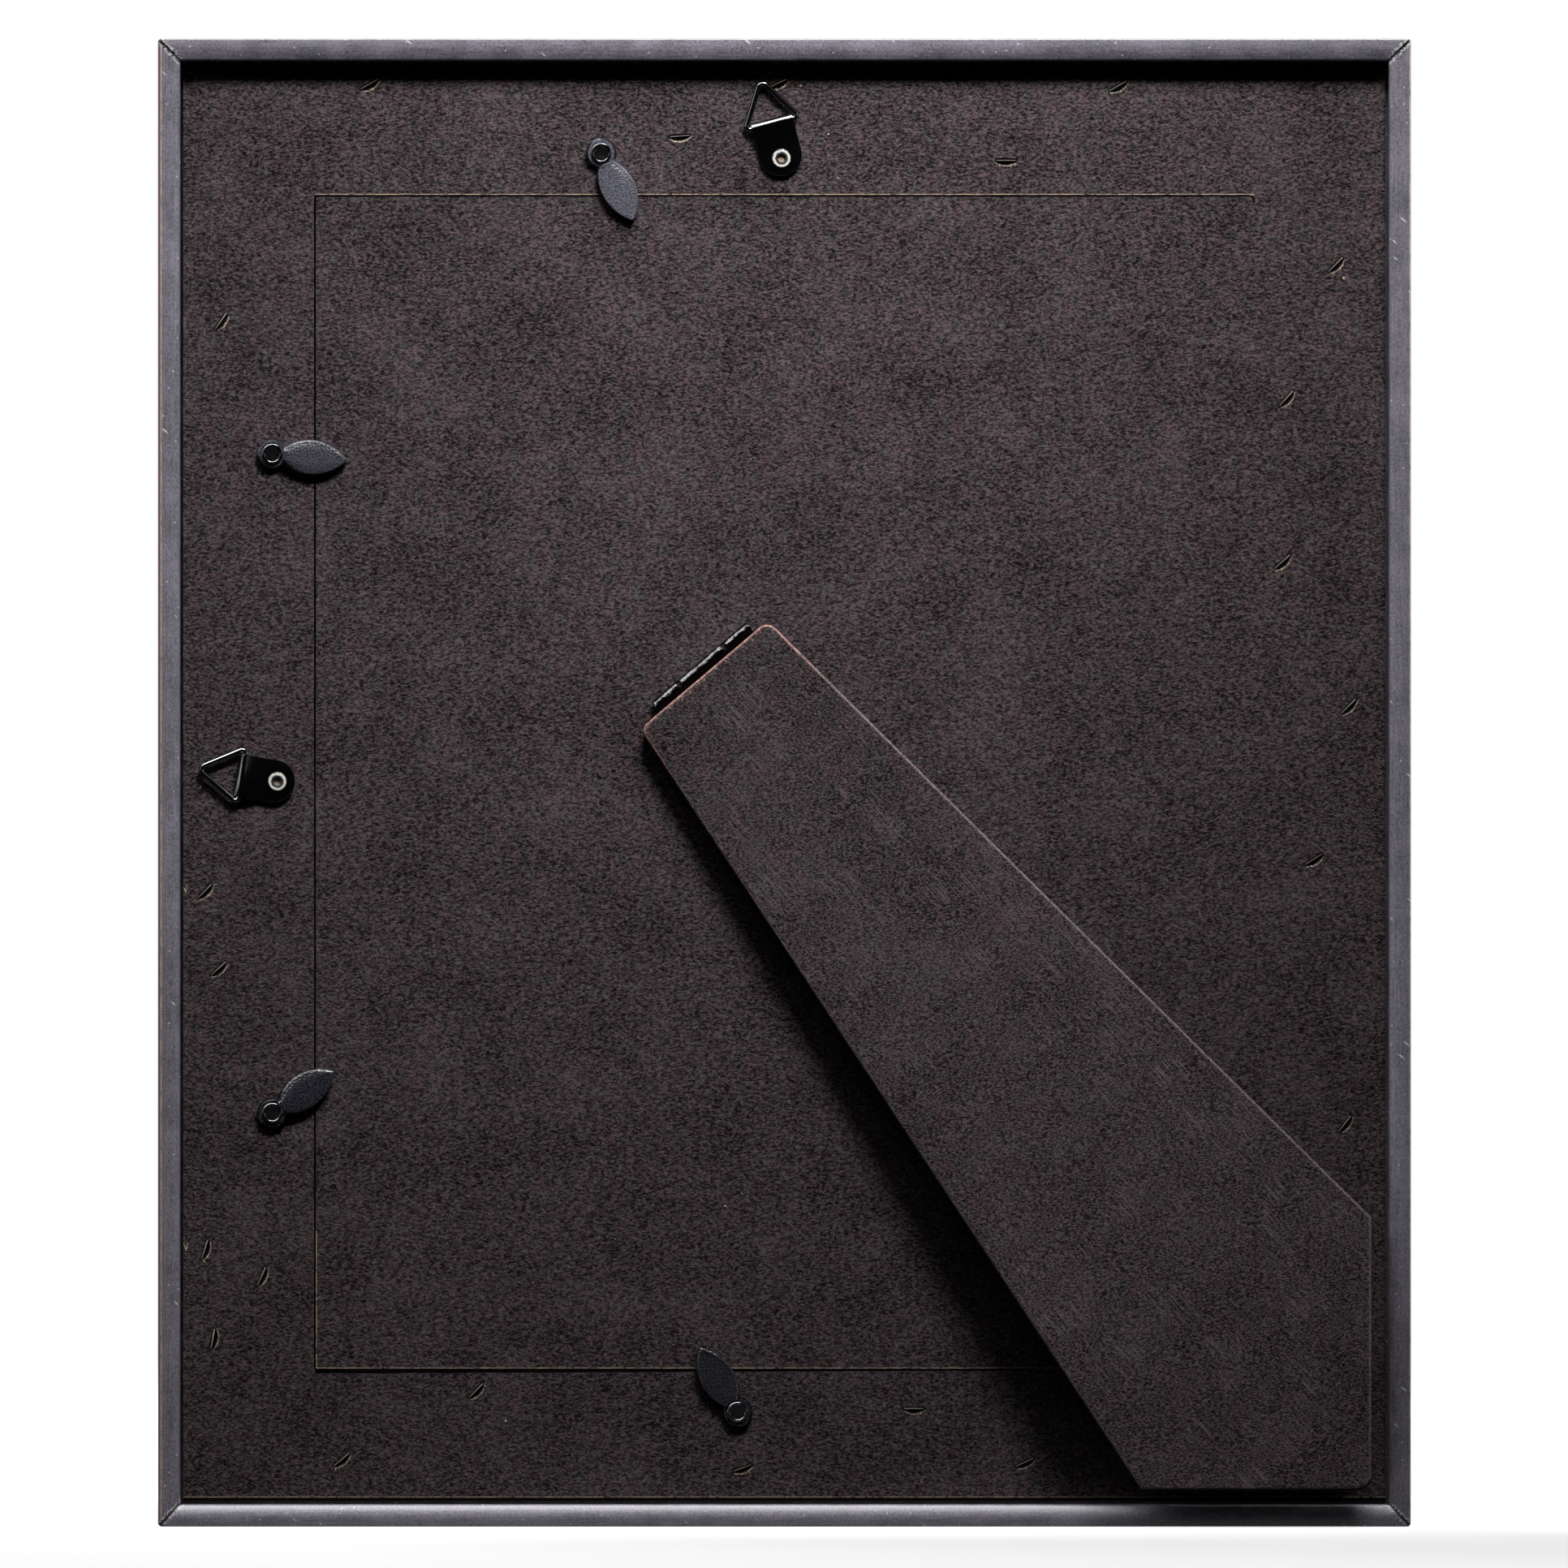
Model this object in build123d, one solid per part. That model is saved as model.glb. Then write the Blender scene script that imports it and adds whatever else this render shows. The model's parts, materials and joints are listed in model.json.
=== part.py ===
from build123d import *
import os
from math import cos, radians, sin, sqrt, tan

# Easel back photo frame for one upright picture, in millimetres.
# +Z is up, -Y is the picture side and +Y is the back. The origin is the middle of the
# bottom rail's lower face, on which the frame stands.

# Picture and glazing
picture_w = 203.2
picture_h = 254.0
glass_t = 2.0
sheet_t = 0.3
pocket_clear = 0.6
pocket_slack = 0.2

# Moulding: the rails' section, from the outer edge towards the picture
moulding_w = 38.1
moulding_depth = 18.0
lip_w = 4.8
face_fall = 3.0
crest_in = 10.0
crest_round = 40.0
arris_round = 2.5
sight_round = 1.0
rim_w = 4.8
rim_ridge_in = 1.1
rim_crown_r = 6.5
rim_round = 0.9
rim_edge_round = 0.3
corner_round = 0.8
crack_w = 0.6
crack_deep = 1.5

# V-nails across each mitre
nail_leg = 5.0
nail_t = 0.4
nail_deep = 7.0
nail_shares = (0.3, 0.75)

# Backing board and the door flap cut into it
recess = 6.0
board_t = 2.5
board_clear = 0.6
kerf = 0.4
kerf_gape = 0.9
kerf_corner_round = 1.0
kerf_tail = 1.6
flap_corner_round = 0.5
nick_len = 0.9
nick_gap = 1.2
nick_w = 0.2
nick_count = 4
score_w = 0.6
score_deep = 1.2

# Staples, sunk in torn slits
staple_w = 4.4
staple_wire = 0.5
staple_leg = 7.0
staple_sink = 0.35
slit_over = 0.25
slit_upper = 0.4
slit_end = 0.3
slit_lower = 1.0

# Turn buttons: a round eye and a leaf that reaches over the door
button_out = 9.2
eye_r = 3.3
eye_t = 1.35
eye_round = 0.4
leaf_reach = 16.3
leaf_half = 3.75
leaf_wide_share = 0.47
leaf_base_half = 1.9
leaf_tip_round = 0.5
leaf_lift = 0.5
leaf_t = 1.4
leaf_round = 0.3
leaf_rim_w = 0.6
leaf_panel_deep = 0.15
rest_gap = 0.15

# Eyelets of the turn buttons
eyelet_r = 1.8
eyelet_wall = 0.22
eyelet_flange_w = 0.4
eyelet_flange_t = 0.45
eyelet_round = 0.2
clinch_w = 0.8
clinch_t = 0.45
clinch_clear = 0.1
run_clear = 0.08

# Hangers: a strap folded round the base of a triangular wire ring, on one rivet
hanger_room_share = 0.6115
strap_w = 9.2
strap_t = 0.5
strap_back = 11.5
strap_rivet_back = 7.7
strap_slit = 0.06
strap_fall_angle = 20.0
ring_wire_r = 0.6
ring_fold_clear = 0.08
ring_side_angle = 58.5
ring_base_round = 0.8
ring_apex_round = 1.1
rivet_r = 1.4
rivet_roll_w = 0.65
rivet_roll_t = 0.5
rivet_bore_r = 0.85
rivet_bore_deep = 0.8
rivet_head_w = 1.1

# Easel leg, its edges flaring from the hinge to the foot
leg_t = 3.0
leg_top_w = 36.3
leg_shift = -1.0
leg_top_gap = 0.25
leg_flare_left = 6.9
leg_flare_right = 5.0
foot_up = 7.5
foot_in = 8.3
leg_top_round = 2.6
leg_arris_round = 0.8
foot_corner_round = 3.5
foot_side_round = 1.0
leg_rest_angle = 4.0

# Leg hinge, three rolled knuckles on one pin
hinge_across_share = -0.13
hinge_up_share = 0.578
hinge_tilt = 40.3
hinge_len = 26.4
hinge_middle_share = 0.43
knuckle_gap = 0.15
pin_r = 0.6
pin_clear = 0.05
pin_end = 0.2
knuckle_wall = 0.7
leaf_plate_t = 0.6
leaf_plate_len = 14.0
leaf_plate_gap = 0.3
prong_w = 2.0
prong_deep = 1.9
prong_in_share = 0.55
prong_across_share = 0.3

# How far cutting bodies run past what they cut
overrun = 1.0

# Places of the buttons and hangers: the door edge they stand beside, the share of that
# edge's half length from its middle, and the way they point, seen from behind.
button_place_shares = {
    "top": ("top", -0.39),
    "left_upper": ("left", 0.56),
    "left_lower": ("left", -0.563),
    "bottom": ("bottom", -0.1),
}
button_angles = {"top": -64.1, "left_upper": -4.8, "left_lower": 34.4, "bottom": 120.9}
hanger_place_shares = {"top": ("top", -0.006), "left": ("left", 0.002)}
hanger_angles = {"top": 105.0, "left": 170.8}

# Staples of each rail: share of the rail's half length from its middle, share of the shelf's
# width from the rim; then how each one slants, seen from behind.
staple_shares = {
    "top": ((-0.663, 0.172), (-0.167, 0.566), (-0.01, 0.165), (0.354, 0.751), (0.533, 0.185)),
    "right": (
        (0.697, 0.401), (0.517, 0.776), (0.297, 0.807),
        (0.103, 0.303), (-0.103, 0.568), (-0.459, 0.333),
    ),
    "bottom": ((0.384, 0.318), (0.207, 0.725), (-0.067, 0.275), (-0.493, 0.86), (-0.708, 0.336)),
    "left": (
        (-0.748, 0.244), (-0.664, 0.614), (-0.628, 0.182),
        (-0.25, 0.287), (-0.146, 0.182), (0.621, 0.306),
    ),
}
staple_slants = {
    "top": (30, 5, 25, 0, 30),
    "right": (45, 48, 42, 45, 32, 52),
    "bottom": (25, 0, 20, 45, 40),
    "left": (80, 65, 72, 42, 45, 55),
}

# Sizes that follow
pocket_w = picture_w + 2 * pocket_clear
pocket_h = picture_h + 2 * pocket_clear
wall_in = moulding_w - lip_w
outer_w = pocket_w + 2 * wall_in
outer_h = pocket_h + 2 * wall_in
half_w = outer_w / 2
middle_z = outer_h / 2
back_y = moulding_depth / 2
front_y = -moulding_depth / 2
board_y = back_y - recess
shelf_y = board_y - board_t
lip_y = shelf_y - glass_t - sheet_t - pocket_slack
shelf_w = wall_in - rim_w
rim_outer_fall = rim_crown_r - sqrt(rim_crown_r**2 - rim_ridge_in**2)
rim_inner_fall = rim_crown_r - sqrt(rim_crown_r**2 - (rim_w - rim_ridge_in)**2)
margin_w = shelf_w + pocket_clear
door_left = -picture_w / 2
door_right = picture_w / 2
door_top = middle_z + picture_h / 2
door_bottom = middle_z - picture_h / 2

# The back view: x to the right as seen from behind, y up, z out of the backing board.
back = Plane(origin=(0, board_y, 0), x_dir=(-1, 0, 0), z_dir=(0, 1, 0))


def block(x0, x1, y0, y1, z0, z1):
    """A box between two corners."""
    size = (x1 - x0, y1 - y0, z1 - z0)
    return Pos((x0 + x1) / 2, (y0 + y1) / 2, (z0 + z1) / 2) * Box(*size)


def prism(face, z0, z1):
    """A flat outline drawn out from one height to another."""
    return Pos(0, 0, z0) * extrude(face, amount=z1 - z0)


def turned(points, radii):
    """A round piece: an outline of radii and heights, turned about the z axis."""
    outline = FilletPolyline(*points, radius=radii, close=True)
    return revolve(Plane.XZ * make_face(outline), Axis.Z)


def beside_door(edge, share, out):
    """A place on the back, outside one edge of the door."""
    along_x = share * picture_w / 2
    along_y = middle_z + share * picture_h / 2
    places = {
        "top": (along_x, door_top + out),
        "bottom": (along_x, door_bottom - out),
        "left": (door_left - out, along_y),
    }
    return places[edge]


# Rails

def rail_section():
    """The moulding's section: x from the outer edge to the picture, y from front to back."""
    corners = (
        ((0, back_y - rim_outer_fall), rim_edge_round),
        ((0, front_y), arris_round),
        ((crest_in, front_y), crest_round),
        ((moulding_w, front_y + face_fall), sight_round),
        ((moulding_w, lip_y), 0),
        ((wall_in, lip_y), 0),
        ((wall_in, shelf_y), 0),
        ((rim_w, shelf_y), 0),
        ((rim_w, back_y - rim_inner_fall), rim_round),
    )
    points = [point for point, _ in corners]
    crown = ThreePointArc(points[-1], (rim_ridge_in, back_y), points[0])
    section = make_face([Polyline(*points), crown])
    for point, radius in corners:
        if radius > 0:
            section = fillet(section.vertices().sort_by_distance(point)[0], radius)
    return section


def mitred_rail(length):
    """A rail along the z axis, its two ends cut at 45 degrees for the mitres."""
    end = length / 2
    inner = end - moulding_w
    plan = Polyline((0, -end), (0, end), (moulding_w, inner), (moulding_w, -inner), close=True)
    bar = extrude(rail_section(), amount=length / 2, both=True)
    return bar & extrude(Plane.XZ * make_face(plan), amount=moulding_depth, both=True)


rail_planes = {
    "bottom": Plane(origin=(0, 0, 0), x_dir=(0, 0, 1), z_dir=(-1, 0, 0)),
    "top": Plane(origin=(0, 0, outer_h), x_dir=(0, 0, -1), z_dir=(1, 0, 0)),
    "left": Plane(origin=(half_w, 0, middle_z), x_dir=(-1, 0, 0), z_dir=(0, 0, -1)),
    "right": Plane(origin=(-half_w, 0, middle_z), x_dir=(1, 0, 0), z_dir=(0, 0, 1)),
}
rail_lengths = {"bottom": outer_w, "top": outer_w, "left": outer_h, "right": outer_h}
eased_outline = Pos(0, middle_z) * RectangleRounded(outer_w, outer_h, corner_round)
eased_block = back * extrude(eased_outline, amount=moulding_depth, both=True)
corner_seats = []
for corner in range(4):
    corner_x = half_w if corner in (1, 2) else -half_w
    corner_y = outer_h if corner in (2, 3) else 0
    corner_seats.append(Pos(corner_x, corner_y) * Rot(0, 0, 90 * corner))


def mitre_crack():
    """The shallow crack where a mitre has opened: a wedge from the corner along x."""
    reach = rim_w * sqrt(2)
    wedge = Polyline((-overrun, -crack_w / 2), (reach, 0), (-overrun, crack_w / 2), close=True)
    return prism(make_face(wedge), recess - crack_deep, recess + overrun)


cracks = [back * seat * Rot(0, 0, 45) * mitre_crack() for seat in corner_seats]
rails = {}
for side, plane in rail_planes.items():
    rails[side] = (plane * mitred_rail(rail_lengths[side])) & eased_block
    rails[side] = rails[side] - cracks


# V-nails: two bent strips across each mitre, driven into the rails below the board

def v_nail():
    """A strip bent to a right angle, its bend on the mitre and a leg in each rail."""
    one_leg = ((0, 0), (nail_leg, 0), (nail_leg, nail_t), (nail_t, nail_t))
    other_leg = ((nail_t, nail_leg), (0, nail_leg))
    bent = make_face(Polyline(*one_leg, *other_leg, close=True))
    return prism(bent, -board_t - nail_deep, -board_t)


nails = []
for seat in corner_seats:
    for share in nail_shares:
        place = rim_w + share * shelf_w
        nails.append(back * seat * Pos(place, place) * v_nail())


# Backing board: one sheet with a door flap cut on three sides and scored on the fourth

def door_cuts():
    """The kerf round the flap, the nicks at the ends of the fold, and the score along it."""
    low = -board_t - overrun
    kerf_path = FilletPolyline(
        (door_right, door_bottom + kerf_tail),
        (door_right, door_bottom),
        (door_left, door_bottom),
        (door_left, door_top),
        (door_right, door_top),
        (door_right, door_top - kerf_tail),
        radius=(kerf_corner_round, flap_corner_round, flap_corner_round, kerf_corner_round),
    )
    cuts = [prism(trace(kerf_path, kerf), low, overrun)]
    gape_points = (
        (door_left, door_bottom),
        (door_left, door_bottom - kerf_gape),
        (door_right - kerf_corner_round, door_bottom),
    )
    cuts.append(prism(make_face(Polyline(*gape_points, close=True)), low, overrun))
    for step in range(nick_count):
        start = kerf_tail + nick_gap + step * (nick_len + nick_gap)
        for y0 in (door_bottom + start, door_top - start - nick_len):
            nick_x = door_right - nick_w / 2
            cuts.append(block(nick_x, nick_x + nick_w, y0, y0 + nick_len, low, overrun))
    score_end = kerf_tail + (nick_count + 1) * (nick_len + nick_gap)
    score_points = ((-score_w / 2, -board_t), (0, score_deep - board_t), (score_w / 2, -board_t))
    score = make_face(Polyline(*score_points, close=True))
    groove = extrude(Plane.XZ * score, amount=picture_h / 2 - score_end, both=True)
    cuts.append(Pos(door_right, middle_z) * groove)
    return cuts


def board_blank():
    """The sheet, filling the recess inside the rim."""
    x1 = half_w - rim_w - board_clear
    y0 = rim_w + board_clear
    return block(-x1, x1, y0, outer_h - y0, -board_t, 0)


# Staples

def staple():
    """A staple: the crown lies along x at the foot of its slit, the legs go down."""
    top = -staple_sink
    low = top - staple_leg
    under = top - staple_wire
    out = staple_w / 2
    inside = out - staple_wire
    outer = ((inside, low), (out, low), (out, top), (-out, top), (-out, low))
    inner = ((-inside, low), (-inside, under), (inside, under))
    outline = Polyline(*outer, *inner, close=True)
    return extrude(Plane.XZ * make_face(outline), amount=staple_wire / 2, both=True)


def staple_slit():
    """The torn slit at a crown: straight along the crown's upper side, bowed below it."""
    end = staple_w / 2 + slit_over
    upper = Polyline((-end, -slit_end), (-end, slit_upper), (end, slit_upper), (end, -slit_end))
    lower = ThreePointArc((end, -slit_end), (0, -slit_lower), (-end, -slit_end))
    return prism(make_face([upper, lower]), -staple_sink - staple_wire, overrun)


def staple_place(side, along, across):
    """A place on one rail's shelf, seen from behind."""
    depth = rim_w + across * shelf_w
    along_x = along * half_w
    along_y = middle_z * (1 + along)
    places = {
        "top": (along_x, outer_h - depth),
        "bottom": (along_x, depth),
        "left": (depth - half_w, along_y),
        "right": (half_w - depth, along_y),
    }
    return places[side]


staples = {side: [] for side in staple_shares}
slits = []
for side, places in staple_shares.items():
    for (along, across), slant in zip(places, staple_slants[side]):
        seat = Pos(*staple_place(side, along, across)) * Rot(0, 0, slant)
        staples[side].append(seat * staple())
        slits.append(seat * staple_slit())
all_staples = [one for group in staples.values() for one in group]


# Turn buttons, each modelled with its pivot on the z axis and its tip along x

eye_top = rest_gap + eye_t
leaf_low = rest_gap + leaf_lift
leaf_top = leaf_low + leaf_t
flange_r = eyelet_r + eyelet_flange_w
leaf_base = flange_r + rest_gap


def leaf_outline(inset):
    """The leaf: two arcs from the base to a pointed tip, drawn in by the inset."""
    base = leaf_base + inset
    half_base = leaf_base_half - inset
    wide = leaf_reach * leaf_wide_share
    tip = (leaf_reach - 2 * inset, 0)
    upper = ThreePointArc((base, half_base), (wide, leaf_half - inset), tip)
    lower = ThreePointArc(tip, (wide, inset - leaf_half), (base, -half_base))
    leaf = make_face([upper, lower, Line((base, -half_base), (base, half_base))])
    return fillet(leaf.vertices().sort_by(Axis.X)[-1], leaf_tip_round)


def turn_button():
    """A moulded button: a round eye that lies on the board and a leaf lifted over the door."""
    eye = prism(Circle(eye_r), rest_gap, eye_top)
    eye = fillet(eye.edges().group_by(Axis.Z)[-1], eye_round)
    leaf = prism(leaf_outline(0), leaf_low, leaf_top)
    leaf = fillet(leaf.edges().group_by(Axis.Z)[-1].filter_by(GeomType.CIRCLE), leaf_round)
    leaf -= prism(leaf_outline(leaf_rim_w), leaf_top - leaf_panel_deep, leaf_top + overrun)
    hole = prism(Circle(eyelet_r + run_clear), 0, leaf_top + overrun)
    return eye + leaf - hole


def eyelet():
    """A hollow eyelet: flange over the button, barrel through it and the board, clinch below."""
    bore = eyelet_r - eyelet_wall
    low = clinch_clear - board_t
    seat = eye_top + rest_gap
    top = seat + eyelet_flange_t
    clinch = eyelet_r + clinch_w
    points = (
        (bore, low),
        (clinch, low),
        (clinch, low + clinch_t),
        (eyelet_r, low + clinch_t),
        (eyelet_r, seat),
        (flange_r, seat),
        (flange_r, top),
        (bore, top),
    )
    return turned(points, (0, 0, 0, 0, 0, 0, eyelet_round, eyelet_round))


def fastener_hole(shank_r, head_r):
    """The hole in the board for an eyelet or rivet, opened out below for its head."""
    low = -board_t - overrun
    shank = prism(Circle(shank_r), low, overrun)
    return shank + prism(Circle(head_r + clinch_clear), low, clinch_t + clinch_clear - board_t)


button_seats = {}
for name, (edge, share) in button_place_shares.items():
    button_seats[name] = Pos(*beside_door(edge, share, button_out))


# Hangers, each modelled with its rivet on the z axis and the ring's apex along x

fold_r = ring_wire_r + ring_fold_clear
fold_z = rest_gap + strap_t + fold_r
fold_x = strap_rivet_back
strap_mid = rest_gap + strap_t + strap_slit
strap_top = strap_mid + strap_t
ring_straight = strap_w / 2 + ring_fold_clear
ring_base = ring_straight + ring_base_round / tan(radians(ring_side_angle / 2))
ring_height = ring_base * tan(radians(ring_side_angle))


def strap_side():
    """The strap from the side: a flat lower layer, the fold, and an upper layer that comes down."""
    slope = radians(strap_fall_angle)
    end = fold_x - strap_back
    outer_r = fold_r + strap_t
    outer_leave = (fold_x - outer_r * sin(slope), fold_z + outer_r * cos(slope))
    inner_leave = (fold_x - fold_r * sin(slope), fold_z + fold_r * cos(slope))
    outer_knee = (outer_leave[0] - (outer_leave[1] - strap_top) / tan(slope), strap_top)
    inner_knee = (inner_leave[0] - (inner_leave[1] - strap_mid) / tan(slope), strap_mid)
    return make_face([
        Line((end, rest_gap), (fold_x, rest_gap)),
        ThreePointArc((fold_x, rest_gap), (fold_x + outer_r, fold_z), outer_leave),
        Polyline(outer_leave, outer_knee, (end, strap_top), (end, strap_mid), inner_knee, inner_leave),
        ThreePointArc(inner_leave, (fold_x + fold_r, fold_z), (fold_x, fold_z - fold_r)),
        Polyline((fold_x, rest_gap + strap_t), (end, rest_gap + strap_t), (end, rest_gap)),
    ])


def hanger_strap():
    """The folded strap, its free end rounded and pierced for the rivet."""
    half = strap_w / 2
    end = fold_x - strap_back
    high = fold_z + fold_r + strap_t + overrun
    folded = extrude(Plane.XZ * strap_side(), amount=half, both=True)
    straight = block(end + half, fold_x + strap_w, -half, half, 0, high)
    plan = straight + Pos(end + half, 0) * prism(Circle(half), 0, high)
    return folded & plan - prism(Circle(rivet_r + run_clear), 0, high)


def hanger_ring():
    """A wire bent to a triangle, its base lying in the strap's fold."""
    path = FilletPolyline(
        (fold_x, -ring_base),
        (fold_x, ring_base),
        (fold_x + ring_height, 0),
        radius=(ring_base_round, ring_base_round, ring_apex_round),
        close=True,
    )
    path = Pos(0, 0, fold_z) * path
    section = Plane(origin=path @ 0, z_dir=path % 0) * Circle(ring_wire_r)
    return sweep(section, path)


def hanger_rivet():
    """A semi-tubular rivet: rolled over the strap, its flat head sunk in the board below."""
    low = clinch_clear - board_t
    seat = strap_top + rest_gap
    top = seat + rivet_roll_t
    roll_r = rivet_r + rivet_roll_w
    head_r = rivet_r + rivet_head_w
    floor = top - rivet_bore_deep
    points = (
        (0, low),
        (head_r, low),
        (head_r, low + clinch_t),
        (rivet_r, low + clinch_t),
        (rivet_r, seat),
        (roll_r, seat),
        (roll_r, top),
        (rivet_bore_r, top),
        (rivet_bore_r, floor),
        (0, floor),
    )
    rounds = (0, 0, 0, 0, 0, 0, eyelet_round, eyelet_round, 0, 0)
    return turned(points, rounds)


# A hanger lies between the door and the rim, its strap's round end towards the door.
hanger_tail = strap_back - strap_rivet_back
hanger_reach = fold_x + ring_height + ring_wire_r
hanger_out = hanger_tail + hanger_room_share * (margin_w - hanger_tail - hanger_reach)
hanger_seats = {}
for name, (edge, share) in hanger_place_shares.items():
    hanger_seats[name] = Pos(*beside_door(edge, share, hanger_out))


# Easel leg and its hinge, modelled flat against the board and then swung to the rest angle.
# The hinge's own view has x along the pin, the leg towards -y, and z = 0 at the pin.

bore_r = pin_r + pin_clear
knuckle_r = bore_r + knuckle_wall
pin_z = knuckle_r + rest_gap
leg_low = leaf_plate_t + leaf_plate_gap + leaf_plate_t
hinge_x = hinge_across_share * half_w
hinge_y = hinge_up_share * outer_h
hinge_view = Pos(hinge_x, hinge_y, pin_z) * Rot(0, 0, hinge_tilt)
pin_way = Vector(cos(radians(hinge_tilt)), sin(radians(hinge_tilt)))
leg_way = Vector(sin(radians(hinge_tilt)), -cos(radians(hinge_tilt)))
hinge_axis = Axis(back.from_local_coords((hinge_x, hinge_y, pin_z)), (-pin_way.X, 0, pin_way.Y))


def leg_outline():
    """The leg seen from behind: flared sides, one foot cut level and one cut upright."""
    top = Vector(hinge_x, hinge_y) + leg_way * (knuckle_r + leg_top_gap) + pin_way * leg_shift
    top_left = top - pin_way * (leg_top_w / 2)
    top_right = top + pin_way * (leg_top_w / 2)
    left_way = leg_way.rotate(Axis.Z, -leg_flare_left)
    right_way = leg_way.rotate(Axis.Z, leg_flare_right)
    side_x = half_w - foot_in
    low_left = top_left + left_way * ((foot_up - top_left.Y) / left_way.Y)
    side_high = top_right + right_way * ((side_x - top_right.X) / right_way.X)
    points = (top_left, top_right, side_high, (side_x, foot_up), low_left)
    rounds = (leg_top_round, leg_top_round, foot_side_round, foot_corner_round, foot_side_round)
    return make_face(FilletPolyline(*points, radius=rounds, close=True))


middle_half = hinge_len * hinge_middle_share / 2
outer_start = middle_half + knuckle_gap
knuckle_spans = {
    "middle": [(-middle_half, middle_half)],
    "outer": [(-hinge_len / 2, -outer_start), (outer_start, hinge_len / 2)],
}


def prong(z0, z1):
    """A pointed tooth that is pressed into the board or the leg."""
    half = prong_w / 2
    outline = make_face(Polyline((-half, z0), (half, z0), (0, z1), close=True))
    return extrude(Plane.XZ * outline, amount=leaf_plate_t / 2, both=True)


def prongs(z0, z1):
    """Two prongs, side by side on a leaf."""
    y = -leaf_plate_len * prong_in_share
    x = hinge_len * prong_across_share
    return [Pos(-x, y) * prong(z0, z1), Pos(x, y) * prong(z0, z1)]


def hinge_leaf(spans, z0, z1):
    """A leaf: a plate under the leg, tongues to its knuckles, and the rolled knuckles."""
    start = -knuckle_r - knuckle_gap
    leaf = block(-hinge_len / 2, hinge_len / 2, -leaf_plate_len, start, z0, z1)
    for x0, x1 in spans:
        leaf += block(x0, x1, start, 0, z0, z1)
        leaf += Plane.YZ * prism(Circle(knuckle_r), x0, x1)
    return leaf - Plane.YZ * prism(Circle(bore_r), -hinge_len, hinge_len)


def hinge_pin():
    """The pin, its ends just proud of the outer knuckles."""
    reach = hinge_len / 2 + pin_end
    return Plane.YZ * prism(Circle(pin_r), -reach, reach)


fixed_low = -pin_z
fixed_prongs = prongs(fixed_low, fixed_low - prong_deep)
leg_prongs = prongs(leg_low - pin_z, leg_low - pin_z + prong_deep)
fixed_leaf = hinge_leaf(knuckle_spans["outer"], fixed_low, fixed_low + leaf_plate_t)
fixed_leaf = fixed_leaf + fixed_prongs
leg_leaf = hinge_leaf(knuckle_spans["middle"], leg_low - leaf_plate_t - pin_z, leg_low - pin_z)
leg_leaf = leg_leaf + leg_prongs
leg = prism(leg_outline(), leg_low, leg_low + leg_t)
leg = fillet(leg.edges().group_by(Axis.Z)[-1], leg_arris_round)
leg = leg - [hinge_view * one for one in leg_prongs]


def swung(shape):
    """A leg piece, placed on the back and swung open to the angle that it rests at."""
    return (back * shape).rotate(hinge_axis, -leg_rest_angle)


# The board with everything that goes through it, and the rails with what is driven into them

holes = [seat * fastener_hole(eyelet_r, eyelet_r + clinch_w) for seat in button_seats.values()]
holes += [seat * fastener_hole(rivet_r, rivet_r + rivet_head_w) for seat in hanger_seats.values()]
pressed = [hinge_view * one for one in fixed_prongs]
board = board_blank() - door_cuts() - holes - slits - all_staples - pressed
for side in rails:
    rails[side] = rails[side] - nails - [back * one for one in staples[side]]

glass = block(door_left, door_right, lip_y, lip_y + glass_t, door_bottom, door_top)
sheet = block(door_left, door_right, lip_y + glass_t, lip_y + glass_t + sheet_t, door_bottom, door_top)

nodes = {f"rail_{side}": rails[side] for side in rails}
nodes["corner_v_nails"] = Compound(nails)
nodes["glass_pane"] = glass
nodes["photo_insert"] = sheet
nodes["backing_board"] = back * board
nodes["backing_staples"] = Compound([back * one for one in all_staples])
for name, seat in button_seats.items():
    nodes[f"turn_button_{name}"] = back * seat * Rot(0, 0, button_angles[name]) * turn_button()
    nodes[f"button_eyelet_{name}"] = back * seat * eyelet()
for name, seat in hanger_seats.items():
    aimed = back * seat * Rot(0, 0, hanger_angles[name])
    nodes[f"hanger_strap_{name}"] = aimed * hanger_strap()
    nodes[f"hanger_ring_{name}"] = aimed * hanger_ring()
    nodes[f"hanger_rivet_{name}"] = back * seat * hanger_rivet()
nodes["hinge_fixed_leaf"] = back * hinge_view * fixed_leaf
nodes["hinge_pin"] = back * hinge_view * hinge_pin()
nodes["hinge_leg_leaf"] = swung(hinge_view * leg_leaf)
nodes["easel_leg"] = swung(leg)

os.makedirs("parts", exist_ok=True)
for name, shape in nodes.items():
    export_step(shape, f"parts/{name}.step")
print(f"{len(nodes)} pieces, frame {outer_w:.1f} x {outer_h:.1f} x {moulding_depth:.1f} mm")
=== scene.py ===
# %% [markdown]
# # The back of an easel photo frame
#
# This lesson dresses a picture frame that is seen from behind: black mitred rails, a dark
# hardboard back with a door flap, turn buttons, ring hangers and a hinged easel leg. The solids
# already exist at their real size. What is left is what the eye notices first: the felted face
# of the board, torn fibre round the staples, worn lacquer on the rails and glints on black metal.
#
# The solids are loaded first, and nothing moves them.

# %% Load the solids
import json
import math
import random

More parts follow.
